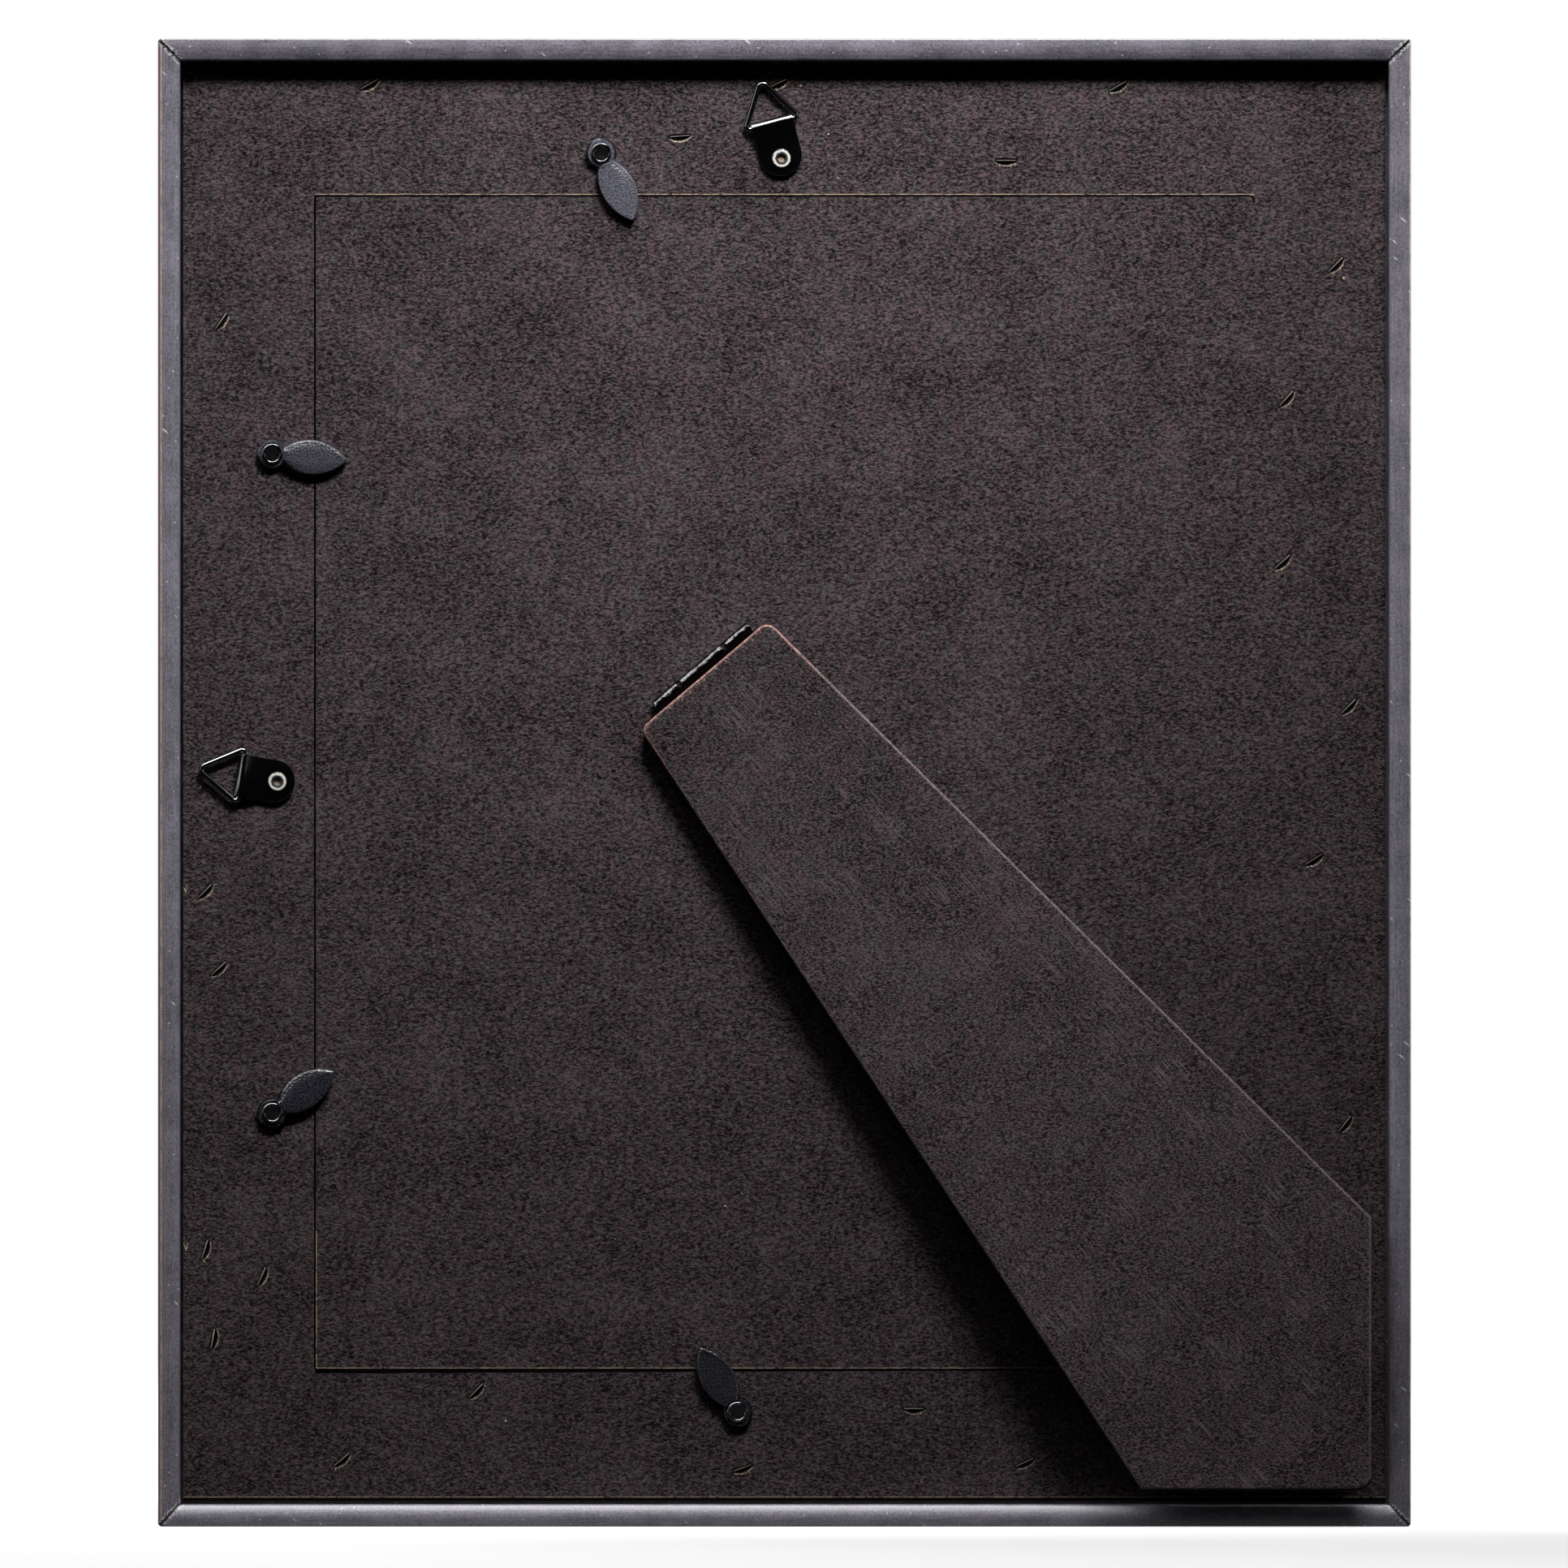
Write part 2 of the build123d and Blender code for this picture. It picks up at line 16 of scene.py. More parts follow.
import bmesh
import bpy
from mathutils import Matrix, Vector


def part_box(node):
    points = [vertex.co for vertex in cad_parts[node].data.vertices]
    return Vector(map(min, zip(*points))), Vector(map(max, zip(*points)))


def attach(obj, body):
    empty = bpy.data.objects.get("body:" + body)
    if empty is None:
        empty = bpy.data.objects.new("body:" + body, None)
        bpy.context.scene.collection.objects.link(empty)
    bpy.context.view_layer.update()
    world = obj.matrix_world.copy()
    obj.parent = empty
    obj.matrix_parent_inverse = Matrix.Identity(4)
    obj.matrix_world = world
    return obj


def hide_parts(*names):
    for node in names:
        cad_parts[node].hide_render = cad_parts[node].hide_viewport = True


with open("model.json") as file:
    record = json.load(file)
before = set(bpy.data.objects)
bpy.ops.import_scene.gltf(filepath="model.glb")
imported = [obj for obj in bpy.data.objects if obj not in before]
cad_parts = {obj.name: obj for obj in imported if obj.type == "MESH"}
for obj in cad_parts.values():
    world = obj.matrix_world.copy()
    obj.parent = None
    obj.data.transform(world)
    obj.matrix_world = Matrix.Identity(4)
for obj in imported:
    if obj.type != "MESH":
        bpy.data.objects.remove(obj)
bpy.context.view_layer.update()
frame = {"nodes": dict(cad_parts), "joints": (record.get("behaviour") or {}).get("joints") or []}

nodes = frame["nodes"]
joints = {joint["name"]: joint for joint in frame["joints"]}
print("pieces:", len(nodes), "joints:", len(joints))

# %% [markdown]
# ## Sizes that the finishes share
#
# Patterns have to sit where the real wear sits: along the outer edges, on the mitres, beside the
# door's cut. Those places could be typed in, but then they would drift when the frame changes.
# Here they are read from the pieces: the rails give the outline, the glass gives the door (both
# have the picture's size), and the board gives the level of the back face.

# %% Measure the frame
MM = 0.001
half_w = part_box("rail_left")[1].x
rim_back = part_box("rail_left")[1].y
middle_z = (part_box("rail_top")[1].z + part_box("rail_bottom")[0].z) / 2
half_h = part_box("rail_top")[1].z - middle_z
board_low, board_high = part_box("backing_board")
face_y = board_high.y
door_low, door_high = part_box("glass_pane")
print(f"outline {2 * half_w / MM:.1f} x {2 * half_h / MM:.1f} mm")
print(f"board face at y {face_y / MM:.2f} mm")

# %% [markdown]
# ## One function for nodes
#
# A procedural material is a small graph. Writing `nodes.new`, then each setting, then each link
# takes many lines, so one function does all three. Values that are sockets become links, other
# values fill the socket. Colours are written as the hex values that a colour picker shows, and
# one function turns them into the linear numbers that the shaders use. Every pattern is placed by
# a point's place on its own object, so it stays there when the object moves.

# %% Helpers for colours and nodes
# A Mix node has other sockets for numbers than for colours, and these are their places.
NUMBER_A, NUMBER_B = 2, 3
COLOUR_A, COLOUR_B = 6, 7
COLOUR_MIX = {"output": 2, "data_type": "RGBA"}


def linear(hex_colour):
    """An sRGB hex colour as the linear RGBA that shaders take."""
    parts = [int(hex_colour[i:i + 2], 16) / 255 for i in (0, 2, 4)]
    return (*[p / 12.92 if p <= 0.04045 else ((p + 0.055) / 1.055) ** 2.4 for p in parts], 1.0)


def add(tree, kind, inputs=None, output=0, **settings):
    """Adds a node, sets it, links or fills its sockets, and gives back one of its outputs."""
    made = tree.nodes.new(kind)
    for name, value in settings.items():
        setattr(made, name, value)
    for key, value in (inputs or {}).items():
        if isinstance(value, bpy.types.NodeSocket):
            tree.links.new(value, made.inputs[key])
        else:
            made.inputs[key].default_value = value
    return made.outputs[output] if made.outputs else None


def per_mm(size):
    """The texture scale at which a pattern's features are this many millimetres across."""
    return 1 / (size * MM)


def blank_material(name):
    """A material, its empty node tree, and in that tree a point's place on the object."""
    material = bpy.data.materials.new(name)
    material.use_nodes = True
    tree = material.node_tree
    tree.nodes.clear()
    return material, tree, add(tree, "ShaderNodeTexCoord", output="Object")


def dress(material, *names):
    """Gives a finish to loaded pieces, in place of the plain one that they came with."""
    for name in names:
        nodes[name].data.materials.clear()
        nodes[name].data.materials.append(material)
    print(material.name, "on", ", ".join(names))


print(f"the grey 808080 is {linear('808080')[0]:.3f} in linear light")

# %% [markdown]
# ## Camera
#
# The frame is seen straight from behind, with so little perspective that a rim as deep as a
# finger shows no inner side. A parallel camera would do that too, but it can't be moved closer or
# further for other views. A very long lens from far away looks the same and keeps working.

# %% Camera
PHOTO_PIXELS = 1932
PIXELS_PER_MM = 5.697
PHOTO_BASE_ROW = 1881
PHOTO_AXIS_COLUMN = 966.5
LENS = 1000.0
SENSOR = 36.0

view_w = PHOTO_PIXELS / PIXELS_PER_MM * MM
distance = view_w * LENS / SENSOR
camera_data = bpy.data.cameras.new("camera")
camera_data.lens = LENS
camera_data.sensor_width = SENSOR
camera_data.clip_end = 3 * distance
camera = bpy.data.objects.new("camera", camera_data)
bpy.context.scene.collection.objects.link(camera)
camera.location = (
    (PHOTO_AXIS_COLUMN - PHOTO_PIXELS / 2) / PIXELS_PER_MM * MM,
    rim_back + distance,
    (PHOTO_BASE_ROW - PHOTO_PIXELS / 2) / PIXELS_PER_MM * MM,
)
camera.rotation_euler = (math.radians(90), 0, math.radians(180))
bpy.context.scene.camera = camera
bpy.context.scene.view_settings.view_transform = "Standard"
print(f"camera {distance:.2f} m behind the rim, {view_w / MM:.1f} mm across the picture")

# %% [markdown]
# ## Light
#
# The rim throws a black shadow about as long as the rim is high on the board below it, and the
# board is more than twice as bright at the top as at the bottom, and a little darker at its sides.
# That is one soft box with a grid, quite near, above and a little to the right, with next to no
# fill. The grid is the lamp's spread: it narrows the beam to a pool of light. A weak strip above
# and to the left opens the shadows a little. A large box stands on the picture side, where the
# others can't reach. None of them shows in the picture itself.

# %% Soft boxes
# Each box: its place, what it points at, its size, its spread in degrees, its power in watts.
SOFT_BOXES = {
    "back_soft_box": ((-0.15, 0.48, 0.86), (0, face_y, 0.315), (0.32, 0.2), 40, 0.69),
    "back_strip_box": ((0.4, 0.6, 0.95), (0, face_y, 0.2), (0.7, 0.08), 120, 0.28),
    "front_soft_box": ((0.9, -1.7, 1.1), (0, face_y, middle_z), (1.2, 1.2), 180, 24.0),
}
for name, (spot, target, size, spread, watts) in SOFT_BOXES.items():
    lamp = bpy.data.lights.new(name, "AREA")
    lamp.shape = "RECTANGLE"
    lamp.size, lamp.size_y = size
    lamp.spread = math.radians(spread)
    lamp.energy = watts
    soft_box = bpy.data.objects.new(name, lamp)
    bpy.context.scene.collection.objects.link(soft_box)
    soft_box.location = spot
    aim = Vector(target) - Vector(spot)
    soft_box.rotation_euler = aim.to_track_quat("-Z", "Y").to_euler()
    soft_box.visible_camera = False
    print(f"{name} {Vector(spot).length:.2f} m away at {watts} W")

# %% [markdown]
# ## White studio
#
# The background is pure white for the camera. Mirror and glass rays see the studio as it is: the
# white backdrop behind the frame, a dark room behind the camera, which is why flat black metal
# stays black from here, a bank of lights high up on the left, and a pale wall on either side. The
# bank gives wires and folds their hard white lines, and the walls give the upright rails their
# sheen. All other rays get hardly any light from the world, so the shadows stay deep.

# %% World
WHITE = linear("ffffff")
ROOM_DARK = 0.004
DIM_FILL = 0.003
# Between these, as a share of the way towards the camera, the backdrop gives way to the room.
BACKDROP_EDGE = (-0.1, 0.5)
LIGHT_BANK = Vector((0.33, 0.38, 0.86)).normalized()
PALE_WALL = Vector((0.866, 0.5, 0.0))

world = bpy.data.worlds.new("white_studio")
world.use_nodes = True
bpy.context.scene.world = world
sky = world.node_tree
sky.nodes.clear()
towards = add(sky, "ShaderNodeTexCoord", output="Generated")
to_either_side = add(sky, "ShaderNodeVectorMath", {0: towards}, operation="ABSOLUTE")
towards_camera = add(sky, "ShaderNodeSeparateXYZ", {"Vector": towards}, output="Y")
studio = add(sky, "ShaderNodeMapRange", {
    "Value": towards_camera, "From Min": BACKDROP_EDGE[0], "From Max": BACKDROP_EDGE[1],
    "To Min": 1.0, "To Max": ROOM_DARK,
})
# Each patch of light: the rays that may see it, its middle, the angles in degrees within which it
# is full and beyond which it is gone, and its strength.
PATCHES = (
    (towards, LIGHT_BANK, 22, 34, 11.5),
    (to_either_side, PALE_WALL, 15, 25, 1.6),
)
for ray, middle, full, gone, strength in PATCHES:
    to_middle = add(sky, "ShaderNodeVectorMath", {0: ray, 1: middle},
                    output="Value", operation="DOT_PRODUCT")
    patch = add(sky, "ShaderNodeMapRange", {
        "Value": to_middle, "From Min": math.cos(math.radians(gone)),
        "From Max": math.cos(math.radians(full)), "To Max": strength,
    })
    studio = add(sky, "ShaderNodeMath", {0: studio, 1: patch}, operation="ADD")
fill = add(sky, "ShaderNodeBackground", {"Color": WHITE, "Strength": DIM_FILL})
room = add(sky, "ShaderNodeBackground", {"Color": WHITE, "Strength": studio})
white = add(sky, "ShaderNodeBackground", {"Color": WHITE, "Strength": 1.0})


def mirror_or_glass(tree):
    """1 on rays that a mirror or a glass sends on."""
    mirrored = add(tree, "ShaderNodeLightPath", output="Is Glossy Ray")
    through = add(tree, "ShaderNodeLightPath", output="Is Transmission Ray")
    return add(tree, "ShaderNodeMath", {0: mirrored, 1: through}, operation="MAXIMUM")


unseen = add(sky, "ShaderNodeMixShader", {0: mirror_or_glass(sky), 1: fill, 2: room})
straight = add(sky, "ShaderNodeLightPath", output="Is Camera Ray")
seen = add(sky, "ShaderNodeMixShader", {0: straight, 1: unseen, 2: white})
add(sky, "ShaderNodeOutputWorld", {"Surface": seen})
print("white to the camera,", ROOM_DARK, "behind it,", DIM_FILL, "of fill")

# %% [markdown]
# ## Floor
#
# The frame stands on a pale floor that should read as pure white and still hold its shadow. Near
# the frame, light from the soft box adds to a faint glow of the floor, so lit floor is white and
# shaded floor is grey. Further away, where the soft box hardly reaches, the glow alone is white.
# Mirrors see it as they see the studio, and other rays see a dark floor, because a white one would
# light the shadows from below.

# %% Floor
FLOOR_HALF = 6.0
FLOOR_DROP = 0.1 * MM
# The shadow fades out between these distances in metres, and the glow goes from one to the other.
SHADOW_REACH = (0.5, 1.6)
FLOOR_GLOW = (0.8, 1.0)
# Between these places towards the camera, in metres, the floor goes dark for mirrors.
WHITE_FLOOR_EDGE = (-0.2, 0.1)


def piece_from(bm, name, material):
    """Puts a bmesh into the scene as an object with a finish, and frees the bmesh."""
    mesh = bpy.data.meshes.new(name)
    bm.to_mesh(mesh)
    bm.free()
    mesh.materials.append(material)
    piece = bpy.data.objects.new(name, mesh)
    bpy.context.scene.collection.objects.link(piece)
    return piece


# Pale paper: flat white that holds a soft shadow.
paper_sweep, tree, place = blank_material("pale_paper_sweep")
away = add(tree, "ShaderNodeVectorMath", {0: place}, output="Value", operation="LENGTH")
glow = add(tree, "ShaderNodeMapRange", {
    "Value": away, "From Min": SHADOW_REACH[0], "From Max": SHADOW_REACH[1],
    "To Min": FLOOR_GLOW[0], "To Max": FLOOR_GLOW[1],
})
lit = add(tree, "ShaderNodeBsdfDiffuse", {"Color": linear("f2f2f2")})
glowing = add(tree, "ShaderNodeEmission", {"Color": WHITE, "Strength": glow})
pale = add(tree, "ShaderNodeAddShader", {0: lit, 1: glowing})
dark = add(tree, "ShaderNodeBsdfDiffuse", {"Color": linear("262626")})
behind = add(tree, "ShaderNodeSeparateXYZ", {"Vector": place}, output="Y")
studio = add(tree, "ShaderNodeMapRange", {
    "Value": behind, "From Min": WHITE_FLOOR_EDGE[0], "From Max": WHITE_FLOOR_EDGE[1],
    "To Min": 1.0, "To Max": ROOM_DARK,
})
mirrored_floor = add(tree, "ShaderNodeEmission", {"Color": WHITE, "Strength": studio})
unseen = add(tree, "ShaderNodeMixShader", {0: mirror_or_glass(tree), 1: dark, 2: mirrored_floor})
straight = add(tree, "ShaderNodeLightPath", output="Is Camera Ray")
surface = add(tree, "ShaderNodeMixShader", {0: straight, 1: unseen, 2: pale})
add(tree, "ShaderNodeOutputMaterial", {"Surface": surface})

floor_bm = bmesh.new()
bmesh.ops.create_grid(floor_bm, x_segments=1, y_segments=1, size=FLOOR_HALF)
bmesh.ops.translate(floor_bm, verts=floor_bm.verts, vec=(0, 0, -FLOOR_DROP))
floor = piece_from(floor_bm, "studio_floor", paper_sweep)
print("floor", 2 * FLOOR_HALF, "m across")

# %% [markdown]
# ## Felted hardboard
#
# The back and the leg are thin dyed hardboard, pressed from wood fibre. Its rough face is a mat
# of short, curled strands that lie mostly sideways, with dark pits between them, a few bare light
# fibres, and cloudy patches where the dye took better. A photograph of felt would give that at
# once, but a pattern from nodes has no edges and no resolution. Two noises are stretched into
# strands, turned against each other, and bent by a third. The same height drives colour and bump,
# so the strands catch the light from above.

# %% The fibre face that the board and the leg share
# Sizes in mm: strands, the curls that bend them and how far, clouds of dye, patches of another
# hue, pits, and the distance from one bare fibre to the next.
STRAND_LONG, STRAND_THICK = 0.85, 0.36
CURL_WIDE, CURL_FAR = 1.6, 0.7
CLOUD_WIDE, HUE_WIDE = 18, 3.0
PIT_WIDE, FLECK_APART = 0.6, 5.0
# The second noise is turned against the first, in degrees, and counts half. Together they are
# about 0.75 high in the middle.
STRAND_TURNS = (8, -24)
SECOND_SHARE, MIDDLE_HEIGHT = 0.5, 0.75
DYE_VARIES = 0.12
PIT_DEEP = 0.3
# How high the felt stands, and how little of the light a dry matt board mirrors.
FELT_HIGH = 0.45 * MM
DRY_ROUGH, DRY_SHINE = 0.9, 0.02


def felted_face(tree, place, fine, clear, deep):
    """Colour and height of dyed hardboard: how fine and clear its strands, how deep its dye."""
    drift = add(tree, "ShaderNodeTexNoise", {
        "Vector": place, "Scale": per_mm(CURL_WIDE), "Detail": 1.0,
    }, output="Color")
    curled = add(tree, "ShaderNodeVectorMath", {0: drift, 1: (CURL_FAR * MM,) * 3, 2: place},
                 operation="MULTIPLY_ADD")
    strands = []
    for turn in STRAND_TURNS:
        lay = add(tree, "ShaderNodeMapping", {
            "Vector": curled, "Rotation": (0, math.radians(turn), 0),
            "Scale": (STRAND_LONG / fine * MM, MM / fine, STRAND_THICK / fine * MM),
        }, vector_type="TEXTURE")
        strands.append(add(tree, "ShaderNodeTexNoise", {
            "Vector": lay, "Scale": 1.0, "Detail": 4.0, "Roughness": 0.72,
        }))
    height = add(tree, "ShaderNodeMath", {0: strands[1], 1: SECOND_SHARE, 2: strands[0]},
                 operation="MULTIPLY_ADD")
    cloud = add(tree, "ShaderNodeTexNoise", {
        "Vector": place, "Scale": per_mm(CLOUD_WIDE), "Detail": 4.0, "Roughness": 0.6,
    })
    dye = add(tree, "ShaderNodeMapRange", {
        "Value": cloud, "From Min": 0.3, "From Max": 0.7,
        "To Min": -DYE_VARIES - deep, "To Max": DYE_VARIES - deep,
    })
    # Partly painted shade: the tone follows strand height, so hollows come out darker than crests,
    # on top of the felt's own clouds and hue.
    tone = add(tree, "ShaderNodeMapRange", {
        "Value": height, "From Min": MIDDLE_HEIGHT - 0.12 / clear,
        "From Max": MIDDLE_HEIGHT + 0.2 / clear,
    })
    shade = add(tree, "ShaderNodeMath", {0: tone, 1: dye}, operation="ADD", use_clamp=True)
    hue = add(tree, "ShaderNodeTexNoise", {
        "Vector": place, "Scale": per_mm(HUE_WIDE), "Detail": 3.0,
    })
    warm = add(tree, "ShaderNodeMapRange", {"Value": hue, "From Min": 0.4, "From Max": 0.65})
    light = add(tree, "ShaderNodeMix", {
        0: warm, COLOUR_A: linear("716a6c"), COLOUR_B: linear("79666b"),
    }, **COLOUR_MIX)
    colour = add(tree, "ShaderNodeMix", {
        0: shade, COLOUR_A: linear("181416"), COLOUR_B: light,
    }, **COLOUR_MIX)
    holes = add(tree, "ShaderNodeTexNoise", {
        "Vector": curled, "Scale": per_mm(PIT_WIDE), "Detail": 1.0,
    })
    pit = add(tree, "ShaderNodeMapRange", {
        "Value": holes, "From Min": 0.62, "From Max": 0.7, "To Max": 0.7,
    })
    # Painted shade: pits are coloured near black, as well as being sunk in the bump.
    pitted = add(tree, "ShaderNodeMix", {
        0: pit, COLOUR_A: colour, COLOUR_B: linear("120e10"),
    }, **COLOUR_MIX)
    sunk = add(tree, "ShaderNodeMath", {0: pit, 1: -PIT_DEEP, 2: height},
               operation="MULTIPLY_ADD")
    bare = add(tree, "ShaderNodeTexVoronoi", {
        "Vector": curled, "Scale": per_mm(FLECK_APART),
    }, output="Distance")
    fleck = add(tree, "ShaderNodeMapRange", {
        "Value": bare, "From Min": 0.02, "From Max": 0.04, "To Min": 0.6, "To Max": 0.0,
    })
    flecked = add(tree, "ShaderNodeMix", {
        0: fleck, COLOUR_A: pitted, COLOUR_B: linear("b09f92"),
    }, **COLOUR_MIX)
    return flecked, sunk


print(f"strands of {STRAND_LONG} x {STRAND_THICK} mm, turned by {STRAND_TURNS} degrees")

# %% [markdown]
# ## The backing board
#
# The board has a door flap cut into it. Where the blade went through, the dye stays on the face
# and the raw, tan fibre of the core shows as a thin broken line: above the flap's upper edge, on
# the flap's own lower edge, for a short way up its free side, and just above the board's lower
# edge, which is eased. On the eased edge, and below the face in the cuts and the staple slits, the
# colour is a painted shade, near black, for the shadow there. Depth alone can't tell these apart,
# so each line is a narrow band at the cut's place, broken up by a noise.

# %% Hardboard for the back
CUT_LINE = 0.3 * MM
CUT_OFFSET = 0.3 * MM
FREE_SIDE_RUN = 30 * MM
EASED_EDGE = 0.9 * MM
EASED_LINE = CUT_LINE / 3
FRAY_WIDE = 1.1
# The painted shade comes in between these depths below the face.
DARK_FROM, DARK_TO = 0.02 * MM, 0.12 * MM

# Dyed hardboard: matt, so it shows no highlight, only strands lit from one side.
board_finish, tree, place = blank_material("dyed_hardboard_felted_face")
x, y, z = add(tree, "ShaderNodeSeparateXYZ", {"Vector": place}).node.outputs
face_colour, face_height = felted_face(tree, place, fine=1.0, clear=1.1, deep=0.0)
# Each cut: the coordinate that it stays at and where, then the coordinate along it, with its
# middle and half its run.
CUTS = (
    (z, door_high.z + CUT_OFFSET, x, 0.0, door_high.x),
    (z, door_low.z + CUT_OFFSET, x, 0.0, door_high.x),
    (x, door_high.x - CUT_OFFSET, z, door_low.z + FREE_SIDE_RUN / 2, FREE_SIDE_RUN / 2),
)
raw_line = add(tree, "ShaderNodeMath", {0: z, 1: board_low.z + EASED_EDGE, 2: EASED_LINE},
               operation="COMPARE")
for across, level, along, middle, half in CUTS:
    near = add(tree, "ShaderNodeMath", {0: across, 1: level, 2: CUT_LINE / 2},
               operation="COMPARE")
    within = add(tree, "ShaderNodeMath", {0: along, 1: middle, 2: half}, operation="COMPARE")
    cut = add(tree, "ShaderNodeMath", {0: within, 1: near}, operation="MULTIPLY")
    raw_line = add(tree, "ShaderNodeMath", {0: raw_line, 1: cut}, operation="MAXIMUM")
frayed = add(tree, "ShaderNodeTexNoise", {
    "Vector": place, "Scale": per_mm(FRAY_WIDE), "Detail": 3.0, "Roughness": 0.7,
})
showing = add(tree, "ShaderNodeMapRange", {
    "Value": frayed, "From Min": 0.36, "From Max": 0.52, "To Max": 0.9,
})
raw = add(tree, "ShaderNodeMath", {0: raw_line, 1: showing}, operation="MULTIPLY")
faced = add(tree, "ShaderNodeMix", {
    0: raw, COLOUR_A: face_colour, COLOUR_B: linear("b9a58c"),
}, **COLOUR_MIX)
# Painted shade: below the face and on the eased lower edge, the colour goes near black where shadow
# falls.
deep = add(tree, "ShaderNodeMapRange", {
    "Value": y, "From Min": face_y - DARK_TO, "From Max": face_y - DARK_FROM,
    "To Min": 1.0, "To Max": 0.0,
})
eased = add(tree, "ShaderNodeMath", {0: z, 1: board_low.z + EASED_EDGE - EASED_LINE},
            operation="LESS_THAN")
painted_board_shade = add(tree, "ShaderNodeMath", {0: deep, 1: eased}, operation="MAXIMUM")
board_colour = add(tree, "ShaderNodeMix", {
    0: painted_board_shade, COLOUR_A: faced, COLOUR_B: linear("110d0c"),
}, **COLOUR_MIX)
board_bump = add(tree, "ShaderNodeBump", {
    "Height": face_height, "Strength": 1.0, "Distance": FELT_HIGH,
})
board_skin = add(tree, "ShaderNodeBsdfPrincipled", {
    "Base Color": board_colour, "Roughness": DRY_ROUGH, "Specular IOR Level": DRY_SHINE,
    "Normal": board_bump,
})
add(tree, "ShaderNodeOutputMaterial", {"Surface": board_skin})
dress(board_finish, "backing_board")

# %% [markdown]
# ## The easel leg
#
# The leg is cut from the same board. Its sides are raw, and the rounded edge between face and side
# is rubbed bare: salmon-pink fuzz at the hinge end, paler along the long sides. The face has fine
# sanding lines along the leg. The angle between the surface and the flat face finds the rubbed
# edge wherever it runs, with no need to describe the outline again. The lamp here falls off along
# the leg faster than the photograph shows, so the face is made paler towards the foot to fit.

# %% Hardboard for the leg
# A face with a normal like this or nearer to +Y looks to the back.
LOOKS_BACK = 0.9
# Sizes in mm: a sanding line, the patches with such lines, and the fuzz on the edge.
SANDING_LONG, SANDING_FINE = 9.0, 0.22
SANDED_WIDE, FUZZ_WIDE = 12, 0.4
PINK_END = (8 * MM, 20 * MM)
LEG_LONG = 220 * MM
# Painted light: the face's colour is multiplied by this at the hinge and at the foot, darker at the
# hinge and paler at the foot, against the lamp's falloff along the leg.
PAINTED_LIGHT_SCALE = (0.8, 1.45)
# How alike a surface's normal and the flat face's are on the rounding and on the side walls.
ROUNDING = (0.97, 0.84)
SIDE_WALL = (0.25, 0.05)

leg_faces = [p for p in nodes["easel_leg"].data.polygons if p.normal.y > LOOKS_BACK]
leg_normal = max(leg_faces, key=lambda p: p.area).normal.copy()
hinge = joints["easel_leg_hinge"]
hinge_place = Vector(hinge["pos_m"])
leg_run = Vector(hinge["axis"]).cross(leg_normal)
leg_run = -leg_run if leg_run.z > 0 else leg_run
leg_turn = math.atan2(leg_run.z, leg_run.x)

# Dyed hardboard, sanded: the same strands, with raw fibre where the dyed skin is rubbed off.
leg_finish, tree, place = blank_material("dyed_hardboard_sanded_leg")
facing = add(tree, "ShaderNodeTexCoord", output="Normal")
face_colour, face_height = felted_face(tree, place, fine=1.25, clear=1.6, deep=-0.04)
lines = add(tree, "ShaderNodeMapping", {
    "Vector": place, "Rotation": (0, -leg_turn, 0),
    "Scale": (SANDING_LONG * MM, MM, SANDING_FINE * MM),
}, vector_type="TEXTURE")
from_hinge = add(tree, "ShaderNodeVectorMath", {0: place, 1: hinge_place}, operation="SUBTRACT")
down_leg = add(tree, "ShaderNodeVectorMath", {0: from_hinge, 1: leg_run},
               output="Value", operation="DOT_PRODUCT")
at_hinge = add(tree, "ShaderNodeMapRange", {
    "Value": down_leg, "From Min": PINK_END[0], "From Max": PINK_END[1],
    "To Min": 1.0, "To Max": 0.0,
})
sanding = add(tree, "ShaderNodeTexNoise", {"Vector": lines, "Scale": 1.0, "Detail": 1.0})
where = add(tree, "ShaderNodeTexNoise", {
    "Vector": place, "Scale": per_mm(SANDED_WIDE), "Detail": 2.0,
})
sanded = add(tree, "ShaderNodeMapRange", {
    "Value": where, "From Min": 0.52, "From Max": 0.62, "To Max": 0.6,
})
scored = add(tree, "ShaderNodeMapRange", {
    "Value": sanding, "From Min": 0.54, "From Max": 0.66, "To Max": 0.6,
})
lined = add(tree, "ShaderNodeMath", {0: scored, 1: sanded}, operation="MULTIPLY")
face_colour = add(tree, "ShaderNodeMix", {
    0: lined, COLOUR_A: face_colour, COLOUR_B: linear("9a9092"),
}, **COLOUR_MIX)
# Painted light: the face grows paler from the hinge to the foot, to even out the lamp's falloff.
painted_falloff = add(tree, "ShaderNodeMapRange", {
    "Value": down_leg, "From Max": LEG_LONG,
    "To Min": PAINTED_LIGHT_SCALE[0], "To Max": PAINTED_LIGHT_SCALE[1],
})
face_colour = add(tree, "ShaderNodeVectorMath", {0: face_colour, "Scale": painted_falloff},
                  operation="SCALE")
flatness = add(tree, "ShaderNodeVectorMath", {0: facing, 1: leg_normal},
               output="Value", operation="DOT_PRODUCT")
rounded = add(tree, "ShaderNodeMapRange", {
    "Value": flatness, "From Min": ROUNDING[0], "From Max": ROUNDING[1],
})
fuzz = add(tree, "ShaderNodeTexNoise", {
    "Vector": place, "Scale": per_mm(FUZZ_WIDE), "Detail": 3.0, "Roughness": 0.7,
})
fuzzy = add(tree, "ShaderNodeMapRange", {
    "Value": fuzz, "From Min": 0.42, "From Max": 0.56, "To Min": 0.1,
})
bared = add(tree, "ShaderNodeMath", {0: rounded, 1: fuzzy}, operation="MULTIPLY")
